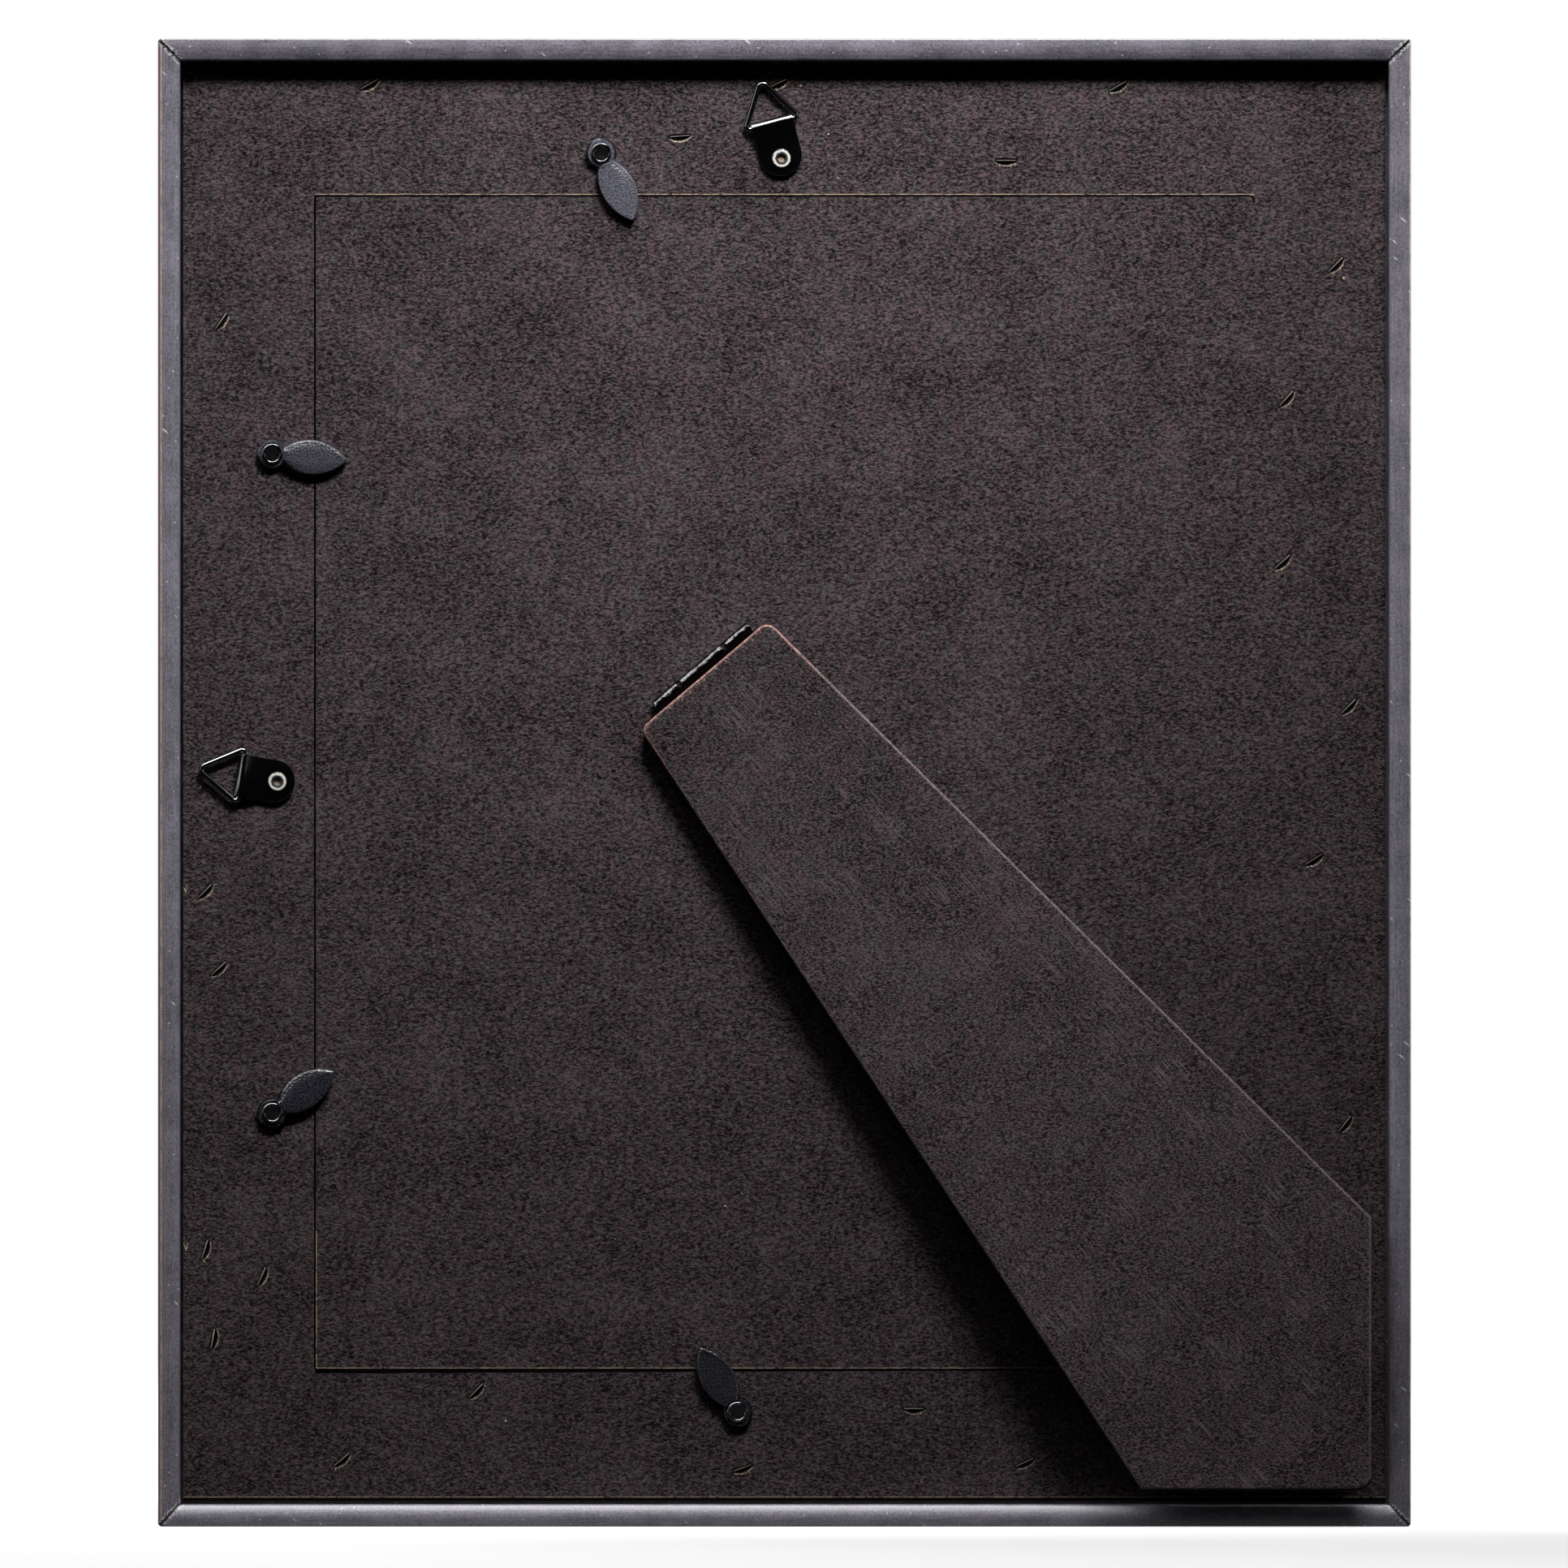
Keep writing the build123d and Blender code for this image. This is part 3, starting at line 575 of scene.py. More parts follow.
skinned = add(tree, "ShaderNodeMix", {
    0: at_hinge, COLOUR_A: linear("a89a98"), COLOUR_B: linear("e6b0a6"),
}, **COLOUR_MIX)
edged = add(tree, "ShaderNodeMix", {
    0: bared, COLOUR_A: face_colour, COLOUR_B: skinned,
}, **COLOUR_MIX)
# Painted shade: the side walls are coloured near black for the shadow that lies on them beside the
# board and at the hinge.
painted_wall_shade = add(tree, "ShaderNodeMapRange", {
    "Value": flatness, "From Min": SIDE_WALL[0], "From Max": SIDE_WALL[1], "To Max": 0.85,
})
leg_colour = add(tree, "ShaderNodeMix", {
    0: painted_wall_shade, COLOUR_A: edged, COLOUR_B: linear("120d0c"),
}, **COLOUR_MIX)
leg_bump = add(tree, "ShaderNodeBump", {
    "Height": face_height, "Strength": 1.0, "Distance": FELT_HIGH,
})
leg_skin = add(tree, "ShaderNodeBsdfPrincipled", {
    "Base Color": leg_colour, "Roughness": DRY_ROUGH, "Specular IOR Level": DRY_SHINE,
    "Normal": leg_bump,
})
add(tree, "ShaderNodeOutputMaterial", {"Surface": leg_skin})
dress(leg_finish, "easel_leg")

# %% [markdown]
# ## Satin black lacquer on wood
#
# The rails are painted before they are cut and joined. The paint is satin, slightly mottled, with
# pale dust in it and fine lines along each rail. Along the outer edge it is worn to bare wood in a
# thin tan line, with a dark brown edge outside that. The mitres are open cracks with pale chips.
# All of this follows from two distances: how far a point lies from the outline's upright side and
# from its level side. The smaller one is the distance to the edge, and where both are equal, there
# is the mitre.

# %% Lacquer for the rails
# Sizes in mm: mottling, blotches and the distance between dust grains.
MOTTLE_WIDE, BLOTCH_WIDE = 0.5, 6
DUST_APART = 2.6
LINE_LONG, LINE_FINE = 9 * MM, 0.35 * MM
# How deep the rounded back of the rim is.
BEAD_DEEP = 2.2 * MM
BLOTCH_SHARE, STREAK_SHARE = 0.4, 0.35

# Satin lacquer: a soft, broad highlight over charcoal, mottled where the paint is rough.
rail_finish, tree, place = blank_material("satin_black_lacquer_on_wood")
x, y, z = add(tree, "ShaderNodeSeparateXYZ", {"Vector": place}).node.outputs
out_x = add(tree, "ShaderNodeMath", {0: x}, operation="ABSOLUTE")
to_side = add(tree, "ShaderNodeMath", {0: half_w, 1: out_x}, operation="SUBTRACT")
up_z = add(tree, "ShaderNodeMath", {0: z, 1: middle_z}, operation="SUBTRACT")
out_z = add(tree, "ShaderNodeMath", {0: up_z}, operation="ABSOLUTE")
to_end = add(tree, "ShaderNodeMath", {0: half_h, 1: out_z}, operation="SUBTRACT")
upright = add(tree, "ShaderNodeMath", {0: to_side, 1: to_end}, operation="LESS_THAN")
unequal = add(tree, "ShaderNodeMath", {0: to_side, 1: to_end}, operation="SUBTRACT")
to_mitre = add(tree, "ShaderNodeMath", {0: unequal}, operation="ABSOLUTE")
on_back = add(tree, "ShaderNodeMath", {0: y, 1: rim_back - BEAD_DEEP}, operation="GREATER_THAN")

mottle = add(tree, "ShaderNodeTexNoise", {
    "Vector": place, "Scale": per_mm(MOTTLE_WIDE), "Detail": 4.0, "Roughness": 0.7,
})
blotch = add(tree, "ShaderNodeTexNoise", {
    "Vector": place, "Scale": per_mm(BLOTCH_WIDE), "Detail": 3.0,
})
drawn = []
for stretch in ((LINE_LONG, MM, LINE_FINE), (LINE_FINE, MM, LINE_LONG)):
    along = add(tree, "ShaderNodeMapping", {"Vector": place, "Scale": stretch},
                vector_type="TEXTURE")
    drawn.append(add(tree, "ShaderNodeTexNoise", {"Vector": along, "Scale": 1.0, "Detail": 2.0}))
streak = add(tree, "ShaderNodeMix", {0: upright, NUMBER_A: drawn[0], NUMBER_B: drawn[1]},
             data_type="FLOAT")
uneven = add(tree, "ShaderNodeMath", {0: blotch, 1: BLOTCH_SHARE, 2: mottle},
             operation="MULTIPLY_ADD")
uneven = add(tree, "ShaderNodeMath", {0: streak, 1: STREAK_SHARE, 2: uneven},
             operation="MULTIPLY_ADD")
tone = add(tree, "ShaderNodeMapRange", {"Value": uneven, "From Min": 0.7, "From Max": 1.05})
paint = add(tree, "ShaderNodeMix", {
    0: tone, COLOUR_A: linear("423f48"), COLOUR_B: linear("847f8b"),
}, **COLOUR_MIX)
dust = add(tree, "ShaderNodeTexVoronoi", {
    "Vector": place, "Scale": per_mm(DUST_APART),
}, output="Distance")
dusty = add(tree, "ShaderNodeMapRange", {
    "Value": dust, "From Min": 0.05, "From Max": 0.1, "To Min": 0.7, "To Max": 0.0,
})
painted = add(tree, "ShaderNodeMix", {
    0: dusty, COLOUR_A: paint, COLOUR_B: linear("dcdade"),
}, **COLOUR_MIX)
print(f"paint with lines of {LINE_LONG / MM:.0f} mm and dust every {DUST_APART} mm")

# %% [markdown]
# The wear comes next. A bare line runs along the outer edge of the upright rails, set in a little
# on the left one, where the edge outside it is rubbed to dark brown wood. Short pale scratches lie
# here and there. Each mitre is a ragged black crack with pale chips on both sides. Each mask is
# broken up by a noise, because real wear is never an even stripe.

# %% Wear on the lacquer
BARE_LINE_LEFT, BARE_LINE_RIGHT = 0.68 * MM, 0.22 * MM
BARE_HALF = 0.15 * MM
CRACK_HALF, FLAKE_HALF = 0.5 * MM, 0.28 * MM
RAGGED = 1.5 * MM
# Sizes in mm: patches of wear along the edge, and the flakes beside a mitre.
WEAR_WIDE, FLAKE_WIDE = 3, 0.45
NICK_TURN = math.radians(-40)
NICK_APART = (13 * MM, 4 * MM, 2.4 * MM)
PAINT_HIGH = 0.06 * MM

left_rail = add(tree, "ShaderNodeMath", {0: x, 1: 0.0}, operation="GREATER_THAN")
line_in = add(tree, "ShaderNodeMix", {
    0: left_rail, NUMBER_A: BARE_LINE_RIGHT, NUMBER_B: BARE_LINE_LEFT,
}, data_type="FLOAT")
wear = add(tree, "ShaderNodeTexNoise", {
    "Vector": place, "Scale": per_mm(WEAR_WIDE), "Detail": 4.0, "Roughness": 0.7,
})
worn = add(tree, "ShaderNodeMapRange", {
    "Value": wear, "From Min": 0.34, "From Max": 0.56, "To Min": 0.15,
})
off_line = add(tree, "ShaderNodeMath", {0: to_side, 1: line_in}, operation="SUBTRACT")
line = add(tree, "ShaderNodeMath", {0: off_line, 1: 0.0, 2: BARE_HALF}, operation="COMPARE")
upright_back = add(tree, "ShaderNodeMath", {0: upright, 1: on_back}, operation="MULTIPLY")
worn_line = add(tree, "ShaderNodeMath", {0: line, 1: worn}, operation="MULTIPLY")
bare = add(tree, "ShaderNodeMath", {0: worn_line, 1: upright_back}, operation="MULTIPLY")
bared = add(tree, "ShaderNodeMix", {
    0: bare, COLOUR_A: painted, COLOUR_B: linear("bcaa9c"),
}, **COLOUR_MIX)
outside = add(tree, "ShaderNodeMath", {0: off_line, 1: -BARE_HALF}, operation="LESS_THAN")
outer_edge = add(tree, "ShaderNodeMath", {0: outside, 1: upright_back}, operation="MULTIPLY")
rubbed = add(tree, "ShaderNodeMath", {0: outer_edge, 1: left_rail}, operation="MULTIPLY")
edged = add(tree, "ShaderNodeMix", {
    0: rubbed, COLOUR_A: bared, COLOUR_B: linear("553d3c"),
}, **COLOUR_MIX)
slanted = add(tree, "ShaderNodeMapping", {
    "Vector": place, "Rotation": (0, NICK_TURN, 0), "Scale": NICK_APART,
}, vector_type="TEXTURE")
nick = add(tree, "ShaderNodeTexVoronoi", {"Vector": slanted, "Scale": 1.0}, output="Distance")
nicked = add(tree, "ShaderNodeMapRange", {
    "Value": nick, "From Min": 0.05, "From Max": 0.08, "To Min": 0.85, "To Max": 0.0,
})
scratched = add(tree, "ShaderNodeMix", {
    0: nicked, COLOUR_A: edged, COLOUR_B: linear("e2e0e4"),
}, **COLOUR_MIX)
flaking = add(tree, "ShaderNodeTexNoise", {
    "Vector": place, "Scale": per_mm(FLAKE_WIDE), "Detail": 3.0, "Roughness": 0.7,
})
ragged = add(tree, "ShaderNodeMath", {0: flaking, 1: -2 * RAGGED, 2: to_mitre},
             operation="MULTIPLY_ADD")
crack = add(tree, "ShaderNodeMath", {0: ragged, 1: CRACK_HALF - RAGGED}, operation="LESS_THAN")
open_crack = add(tree, "ShaderNodeMath", {0: crack, 1: on_back}, operation="MULTIPLY")
cracked = add(tree, "ShaderNodeMix", {
    0: open_crack, COLOUR_A: scratched, COLOUR_B: linear("050505"),
}, **COLOUR_MIX)
beside = add(tree, "ShaderNodeMath", {
    0: ragged, 1: CRACK_HALF + FLAKE_HALF - RAGGED, 2: FLAKE_HALF,
}, operation="COMPARE")
flaked = add(tree, "ShaderNodeMath", {0: mottle, 1: 0.48}, operation="GREATER_THAN")
chipped = add(tree, "ShaderNodeMath", {0: beside, 1: flaked}, operation="MULTIPLY")
chip = add(tree, "ShaderNodeMath", {0: chipped, 1: on_back}, operation="MULTIPLY")
rail_colour = add(tree, "ShaderNodeMix", {
    0: chip, COLOUR_A: cracked, COLOUR_B: linear("d4d1d4"),
}, **COLOUR_MIX)
rail_gloss = add(tree, "ShaderNodeMapRange", {
    "Value": mottle, "From Min": 0.3, "From Max": 0.7, "To Min": 0.38, "To Max": 0.52,
})
rail_height = add(tree, "ShaderNodeMath", {0: streak, 1: 0.5, 2: mottle},
                  operation="MULTIPLY_ADD")
rail_bump = add(tree, "ShaderNodeBump", {
    "Height": rail_height, "Strength": 0.4, "Distance": PAINT_HIGH,
})
rail_skin = add(tree, "ShaderNodeBsdfPrincipled", {
    "Base Color": rail_colour, "Roughness": rail_gloss, "IOR": 1.6, "Specular IOR Level": 0.8,
    "Normal": rail_bump,
})
add(tree, "ShaderNodeOutputMaterial", {"Surface": rail_skin})
dress(rail_finish, "rail_top", "rail_bottom", "rail_left", "rail_right")

# %% [markdown]
# ## Moulded plastic buttons
#
# Each turn button is black plastic from a textured mould: grained on the leaf, smooth round the
# eye, and rolled off towards its outline, so its upper border shines and its lower one goes dark.
# The solid is flat there, and bump is enough for a roll that shallow. The leaf is about as wide as
# a parabola over its length, so the distance from its middle line, as a share of that width, says
# how near the outline is. Each button lies another way, so each gets its own copy. In the
# photograph they get darker from the top one to the bottom one, by more than the lamp here makes
# them, so each copy also has greys of its own, fitted to that.

# %% Plastic for the turn buttons
# Sizes in mm: the mould's grains, how deep they and the roll at the outline are, casting clouds.
GRAIN_WIDE, GRAIN_DEEP = 0.34, 0.09
ROLL_OFF = 0.35
CAST_WIDE = 1.2
SMOOTH_EYE = (3.2 * MM, 4.0 * MM)
LEAF_START = SMOOTH_EYE[0] - MM
TIP_SHARE = 0.2
# Each button: its colour between the grains and on them, which grows darker from the top button to
# the bottom one as painted light, and its least and most roughness.
BUTTON_TONES_PAINTED_LIGHT = {
    "top": ("22222a", "5a5a65", (0.3, 0.42)),
    "left_upper": ("101014", "40404a", (0.3, 0.42)),
    "left_lower": ("0a0a0d", "34343e", (0.2, 0.28)),
    "bottom": ("0a0a0d", "30303a", (0.2, 0.28)),
}
BACKWARDS = Vector((0, 1, 0))


def moulded_plastic(name, pivot, heading, length, half, tones):
    """Grained black plastic: a smooth eye round the pivot, a leaf rolled off along its heading."""
    between, on_grain, roughness = tones
    # Moulded plastic: a bluish sheen that runs off into black, broken into small grains.
    material, tree, place = blank_material(name)
    off_pivot = add(tree, "ShaderNodeVectorMath", {0: place, 1: pivot}, operation="SUBTRACT")
    along = add(tree, "ShaderNodeVectorMath", {0: off_pivot, 1: heading},
                output="Value", operation="DOT_PRODUCT")
    across = add(tree, "ShaderNodeVectorMath", {0: off_pivot, 1: heading.cross(BACKWARDS)},
                 output="Value", operation="DOT_PRODUCT")
    share = add(tree, "ShaderNodeMapRange", {
        "Value": along, "From Min": LEAF_START, "From Max": length,
        "To Min": -1.0, "To Max": 1.0,
    })
    parabola = add(tree, "ShaderNodeMath", {0: share, 1: share}, operation="MULTIPLY")
    width = add(tree, "ShaderNodeMapRange", {
        "Value": parabola, "To Min": half, "To Max": TIP_SHARE * half,
    })
    outward = add(tree, "ShaderNodeMath", {0: across, 1: width}, operation="DIVIDE")
    squared = add(tree, "ShaderNodeMath", {0: outward, 1: outward}, operation="MULTIPLY")
    rolled = add(tree, "ShaderNodeMath", {0: squared, 1: squared}, operation="MULTIPLY")
    grain = add(tree, "ShaderNodeTexVoronoi", {
        "Vector": place, "Scale": per_mm(GRAIN_WIDE),
    }, output="Distance")
    from_eye = add(tree, "ShaderNodeVectorMath", {0: place, 1: pivot},
                   output="Value", operation="DISTANCE")
    on_leaf = add(tree, "ShaderNodeMapRange", {
        "Value": from_eye, "From Min": SMOOTH_EYE[0], "From Max": SMOOTH_EYE[1],
    })
    height = add(tree, "ShaderNodeMath", {0: rolled, 1: -ROLL_OFF / GRAIN_DEEP, 2: grain},
                 operation="MULTIPLY_ADD")
    height = add(tree, "ShaderNodeMath", {0: height, 1: on_leaf}, operation="MULTIPLY")
    cast = add(tree, "ShaderNodeTexNoise", {
        "Vector": place, "Scale": per_mm(CAST_WIDE), "Detail": 3.0,
    })
    crest = add(tree, "ShaderNodeMapRange", {"Value": grain, "From Min": 0.32, "From Max": 0.6})
    colour = add(tree, "ShaderNodeMix", {
        0: crest, COLOUR_A: linear(between), COLOUR_B: linear(on_grain),
    }, **COLOUR_MIX)
    gloss = add(tree, "ShaderNodeMapRange", {
        "Value": cast, "To Min": roughness[0], "To Max": roughness[1],
    })
    bump = add(tree, "ShaderNodeBump", {
        "Height": height, "Strength": 1.0, "Distance": GRAIN_DEEP * MM,
    })
    skin = add(tree, "ShaderNodeBsdfPrincipled", {
        "Base Color": colour, "Roughness": gloss, "Normal": bump,
    })
    add(tree, "ShaderNodeOutputMaterial", {"Surface": skin})
    return material


for side, tones in BUTTON_TONES_PAINTED_LIGHT.items():
    pivot = Vector(joints[f"turn_button_{side}_pivot"]["pos_m"])
    low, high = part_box(f"turn_button_{side}")
    heading = ((low + high) / 2 - pivot) * Vector((1, 0, 1))
    heading.normalize()
    reach = [vert.co - pivot for vert in nodes[f"turn_button_{side}"].data.vertices]
    length = max(spot.dot(heading) for spot in reach)
    leaf = [spot for spot in reach if spot.dot(heading) > SMOOTH_EYE[1]]
    half = max(abs(spot.dot(heading.cross(BACKWARDS))) for spot in leaf)
    print(f"button {side}: {length / MM:.1f} mm from eye to tip, {2 * half / MM:.1f} mm wide")
    plastic = moulded_plastic(f"moulded_black_plastic_{side}", pivot, heading, length, half, tones)
    dress(plastic, f"turn_button_{side}")

# %% [markdown]
# ## Black enamel on steel
#
# The hanger straps, rings, hinge and eyelets are thin steel with baked black enamel. Flat enamel
# is nearly pure black from behind, and only rolled edges and wires mirror the light bank, as hard
# white lines. The hangers have a thin, even coat. The hinge was dipped, and its thick coat ripples
# and sinks in at the gaps between the knuckles, which breaks its highlight into three. One loop
# makes both, and a function gives each its height.

# %% Enamel for the metal parts
# Sizes in mm: a knuckle's length, the ripples of either coat and their height, the depth of a
# gap, and scuffs.
KNUCKLE = 12.7
THIN_WIDE, THIN_HIGH = 1.1, 0.02
DIPPED_WIDE, DIPPED_HIGH = 3.0, 0.5
GAP_DEEP = 0.4
SCUFF_WIDE = 0.35
GAP_HALF = 0.55 * MM


def thin_coat(tree, place):
    """The height in mm of an even coat."""
    ripple = add(tree, "ShaderNodeTexNoise", {
        "Vector": place, "Scale": per_mm(THIN_WIDE), "Detail": 2.0,
    })
    return add(tree, "ShaderNodeMath", {0: ripple, 1: THIN_HIGH}, operation="MULTIPLY")


def dipped_coat(tree, place):
    """The height in mm of a rippled coat that sinks in at the gaps between the knuckles."""
    ripple = add(tree, "ShaderNodeTexNoise", {
        "Vector": place, "Scale": per_mm(DIPPED_WIDE), "Detail": 4.0, "Roughness": 0.6,
    })
    from_hinge = add(tree, "ShaderNodeVectorMath", {0: place, 1: hinge_place},
                     operation="SUBTRACT")
    along = add(tree, "ShaderNodeVectorMath", {0: from_hinge, 1: hinge["axis"]},
                output="Value", operation="DOT_PRODUCT")
    off_middle = add(tree, "ShaderNodeMath", {0: along}, operation="ABSOLUTE")
    past_gap = add(tree, "ShaderNodeMath", {0: off_middle, 1: KNUCKLE / 2 * MM},
                   operation="SUBTRACT")
    to_gap = add(tree, "ShaderNodeMath", {0: past_gap}, operation="ABSOLUTE")
    level = add(tree, "ShaderNodeMapRange", {
        "Value": to_gap, "From Max": GAP_HALF, "To Max": GAP_DEEP,
    })
    return add(tree, "ShaderNodeMath", {0: ripple, 1: DIPPED_HIGH, 2: level},
               operation="MULTIPLY_ADD")


# Each coat: its height, how strongly it shines, and the pieces that have it.
COATS = {
    "thin_black_enamel_on_steel": (thin_coat, 1.0, (
        "hanger_strap_top", "hanger_strap_left", "hanger_ring_top", "hanger_ring_left",
        "button_eyelet_top", "button_eyelet_left_upper", "button_eyelet_left_lower",
        "button_eyelet_bottom",
    )),
    "thick_black_enamel_on_hinge": (dipped_coat, 0.3, (
        "hinge_fixed_leaf", "hinge_leg_leaf", "hinge_pin",
    )),
}
for name, (coat, shine, pieces) in COATS.items():
    # Baked enamel: black as a whole, with small hard highlights on everything that is rounded.
    material, tree, place = blank_material(name)
    scuff = add(tree, "ShaderNodeTexNoise", {
        "Vector": place, "Scale": per_mm(SCUFF_WIDE), "Detail": 3.0, "Roughness": 0.7,
    })
    colour = add(tree, "ShaderNodeMix", {
        0: scuff, COLOUR_A: linear("010101"), COLOUR_B: linear("050506"),
    }, **COLOUR_MIX)
    gloss = add(tree, "ShaderNodeMapRange", {
        "Value": scuff, "From Min": 0.35, "From Max": 0.7, "To Min": 0.1, "To Max": 0.18,
    })
    bump = add(tree, "ShaderNodeBump", {
        "Height": coat(tree, place), "Strength": 1.0, "Distance": MM,
    })
    skin = add(tree, "ShaderNodeBsdfPrincipled", {
        "Base Color": colour, "Roughness": gloss, "IOR": 1.7, "Specular IOR Level": shine,
        "Normal": bump,
    })
    add(tree, "ShaderNodeOutputMaterial", {"Surface": skin})
    dress(material, *pieces)

# %% [markdown]
# ## Drawn steel
#
# Staples and V-nails are drawn steel wire, coloured dark as a painted shade for the slits that the
# staples sit in. A bright band along the middle of each crown is a painted glint, so each staple is
# a dark bar with one bright line. An attribute on the mesh, filled in when the staples are rounded
# below, says where that is. A metal takes its colour from the base colour and keeps the default
# IOR.

# %% Steel for the staples and the V-nails
TARNISH_WIDE = 0.25
TARNISH_HIGH = 0.04 * MM
# The painted glint starts and is full at these shares of half the wire's width.
GLINT_BAND = (0.65, 0.25)

# Drawn steel: a painted shade, dark as a whole, with a painted glint along the middle of its crown.
wire_finish, tree, place = blank_material("drawn_steel_wire")
tarnish = add(tree, "ShaderNodeTexNoise", {
    "Vector": place, "Scale": per_mm(TARNISH_WIDE), "Detail": 3.0,
})
across = add(tree, "ShaderNodeAttribute", output="Fac", attribute_name="across_crown")
off_middle = add(tree, "ShaderNodeMath", {0: across}, operation="ABSOLUTE")
painted_glint = add(tree, "ShaderNodeMapRange", {
    "Value": off_middle, "From Min": GLINT_BAND[0], "From Max": GLINT_BAND[1],
})
# Painted shade: the wire's dark tones stand for the shadow in its slit.
dull = add(tree, "ShaderNodeMix", {
    0: tarnish, COLOUR_A: linear("1a1918"), COLOUR_B: linear("060606"),
}, **COLOUR_MIX)
# Painted glint: a bright metal band along the middle of each crown.
wire_colour = add(tree, "ShaderNodeMix", {
    0: painted_glint, COLOUR_A: dull, COLOUR_B: linear("a09c95"),
}, **COLOUR_MIX)
wire_gloss = add(tree, "ShaderNodeMapRange", {
    "Value": painted_glint, "To Min": 0.35, "To Max": 0.6,
})
wire_bump = add(tree, "ShaderNodeBump", {
    "Height": tarnish, "Strength": 0.2, "Distance": TARNISH_HIGH,
})
wire_skin = add(tree, "ShaderNodeBsdfPrincipled", {
    "Base Color": wire_colour, "Metallic": 1.0, "Roughness": wire_gloss, "Normal": wire_bump,
})
add(tree, "ShaderNodeOutputMaterial", {"Surface": wire_skin})
dress(wire_finish, "backing_staples", "corner_v_nails")

# %% [markdown]
# ## Rolled rivets
#
# Each hanger turns on a hollow rivet whose rim is rolled outwards. It is black, with a band of
# bright nickel on the rolled crest that is partly worn plating and partly a painted highlight, and
# a dull tan plug shows in the bore. Those are rings round the axis, so the distance from the
# strap's pivot, with its depth taken out, colours them.

# %% Nickel for the rivets
# The bright ring's radius and half its width.
RING_R, RING_HALF = 1.63 * MM, 0.26 * MM
RING_RAGGED = 0.3 * MM
PLUG_R = 0.8 * MM
RING_NOISE_WIDE = 0.4
RING_BUMP_HIGH = 0.05 * MM


def rolled_rivet(name, pivot):
    """Black rivet with a bright crest, partly worn plating and partly a painted highlight, and a
    dull plug in its bore.
    """
    # Nickel: a soft bright band between blacks, partly worn plating and partly a painted highlight,
    # brightest where it turns to the light.
    material, tree, place = blank_material(name)
    from_axis = add(tree, "ShaderNodeVectorMath", {0: place, 1: pivot}, operation="SUBTRACT")
    in_plane = add(tree, "ShaderNodeVectorMath", {0: from_axis, 1: (1, 0, 1)},
                   operation="MULTIPLY")
    radius = add(tree, "ShaderNodeVectorMath", {0: in_plane}, output="Value", operation="LENGTH")
    ring_noise = add(tree, "ShaderNodeTexNoise", {
        "Vector": place, "Scale": per_mm(RING_NOISE_WIDE), "Detail": 3.0, "Roughness": 0.7,
    })
    uneven = add(tree, "ShaderNodeMath", {0: ring_noise, 1: 2 * RING_RAGGED, 2: radius},
                 operation="MULTIPLY_ADD")
    ring = add(tree, "ShaderNodeMath", {0: uneven, 1: RING_R + RING_RAGGED, 2: RING_HALF},
               operation="COMPARE")
    plug = add(tree, "ShaderNodeMath", {0: radius, 1: PLUG_R}, operation="LESS_THAN")
    # Partly painted highlight: bright metal is set where the rolled crest catches the light.
    ringed = add(tree, "ShaderNodeMix", {
        0: ring, COLOUR_A: linear("0a0a0b"), COLOUR_B: linear("dedbd5"),
    }, **COLOUR_MIX)
    colour = add(tree, "ShaderNodeMix", {
        0: plug, COLOUR_A: ringed, COLOUR_B: linear("a08c78"),
    }, **COLOUR_MIX)
    bump = add(tree, "ShaderNodeBump", {"Height": ring_noise, "Strength": 0.4, "Distance": RING_BUMP_HIGH})
    skin = add(tree, "ShaderNodeBsdfPrincipled", {
        "Base Color": colour, "Metallic": ring, "Roughness": 0.5, "Normal": bump,
    })
    add(tree, "ShaderNodeOutputMaterial", {"Surface": skin})
    return material


for side in ("top", "left"):
    pivot = Vector(joints[f"hanger_{side}_swivel"]["pos_m"])
    dress(rolled_rivet(f"nickel_rivet_painted_highlight_{side}", pivot), f"hanger_rivet_{side}")

# %% [markdown]
# ## Glass and paper
#
# Only the front shows these. Float glass is clear with a faint green tint in its thickness, and
# the blank sheet behind it is uncoated paper with a soft fibre. A blank sheet says "put a picture
# here" without being one. Its back is a painted shade, near black, so that the hollow eyelets look
# dark inside.

# %% Glass and the blank sheet
# Sizes in mm: smears on the glass and fibres in the paper.
SMEAR_WIDE, FIBRE_WIDE = 30, 0.8
FIBRE_HIGH = 0.05 * MM

# Float glass: sharp reflections and a clear view of the sheet behind.
glass, tree, place = blank_material("clear_float_glass")
smear = add(tree, "ShaderNodeTexNoise", {
    "Vector": place, "Scale": per_mm(SMEAR_WIDE), "Detail": 3.0,
})
clean = add(tree, "ShaderNodeMapRange", {"Value": smear, "To Max": 0.05})
# Light on its way to the sheet goes straight through, which a glass shader alone would stop.
for_lamps = add(tree, "ShaderNodeLightPath", output="Is Shadow Ray")
for_paper = add(tree, "ShaderNodeLightPath", output="Is Diffuse Ray")
let_through = add(tree, "ShaderNodeMath", {0: for_lamps, 1: for_paper}, operation="MAXIMUM")
held_back = add(tree, "ShaderNodeMath", {0: 1.0, 1: let_through}, operation="SUBTRACT")
glass_skin = add(tree, "ShaderNodeBsdfPrincipled", {
    "Base Color": linear("fbfdfc"), "Roughness": clean, "IOR": 1.5, "Transmission Weight": 1.0,
    "Alpha": held_back,
})
add(tree, "ShaderNodeOutputMaterial", {"Surface": glass_skin})
dress(glass, "glass_pane")

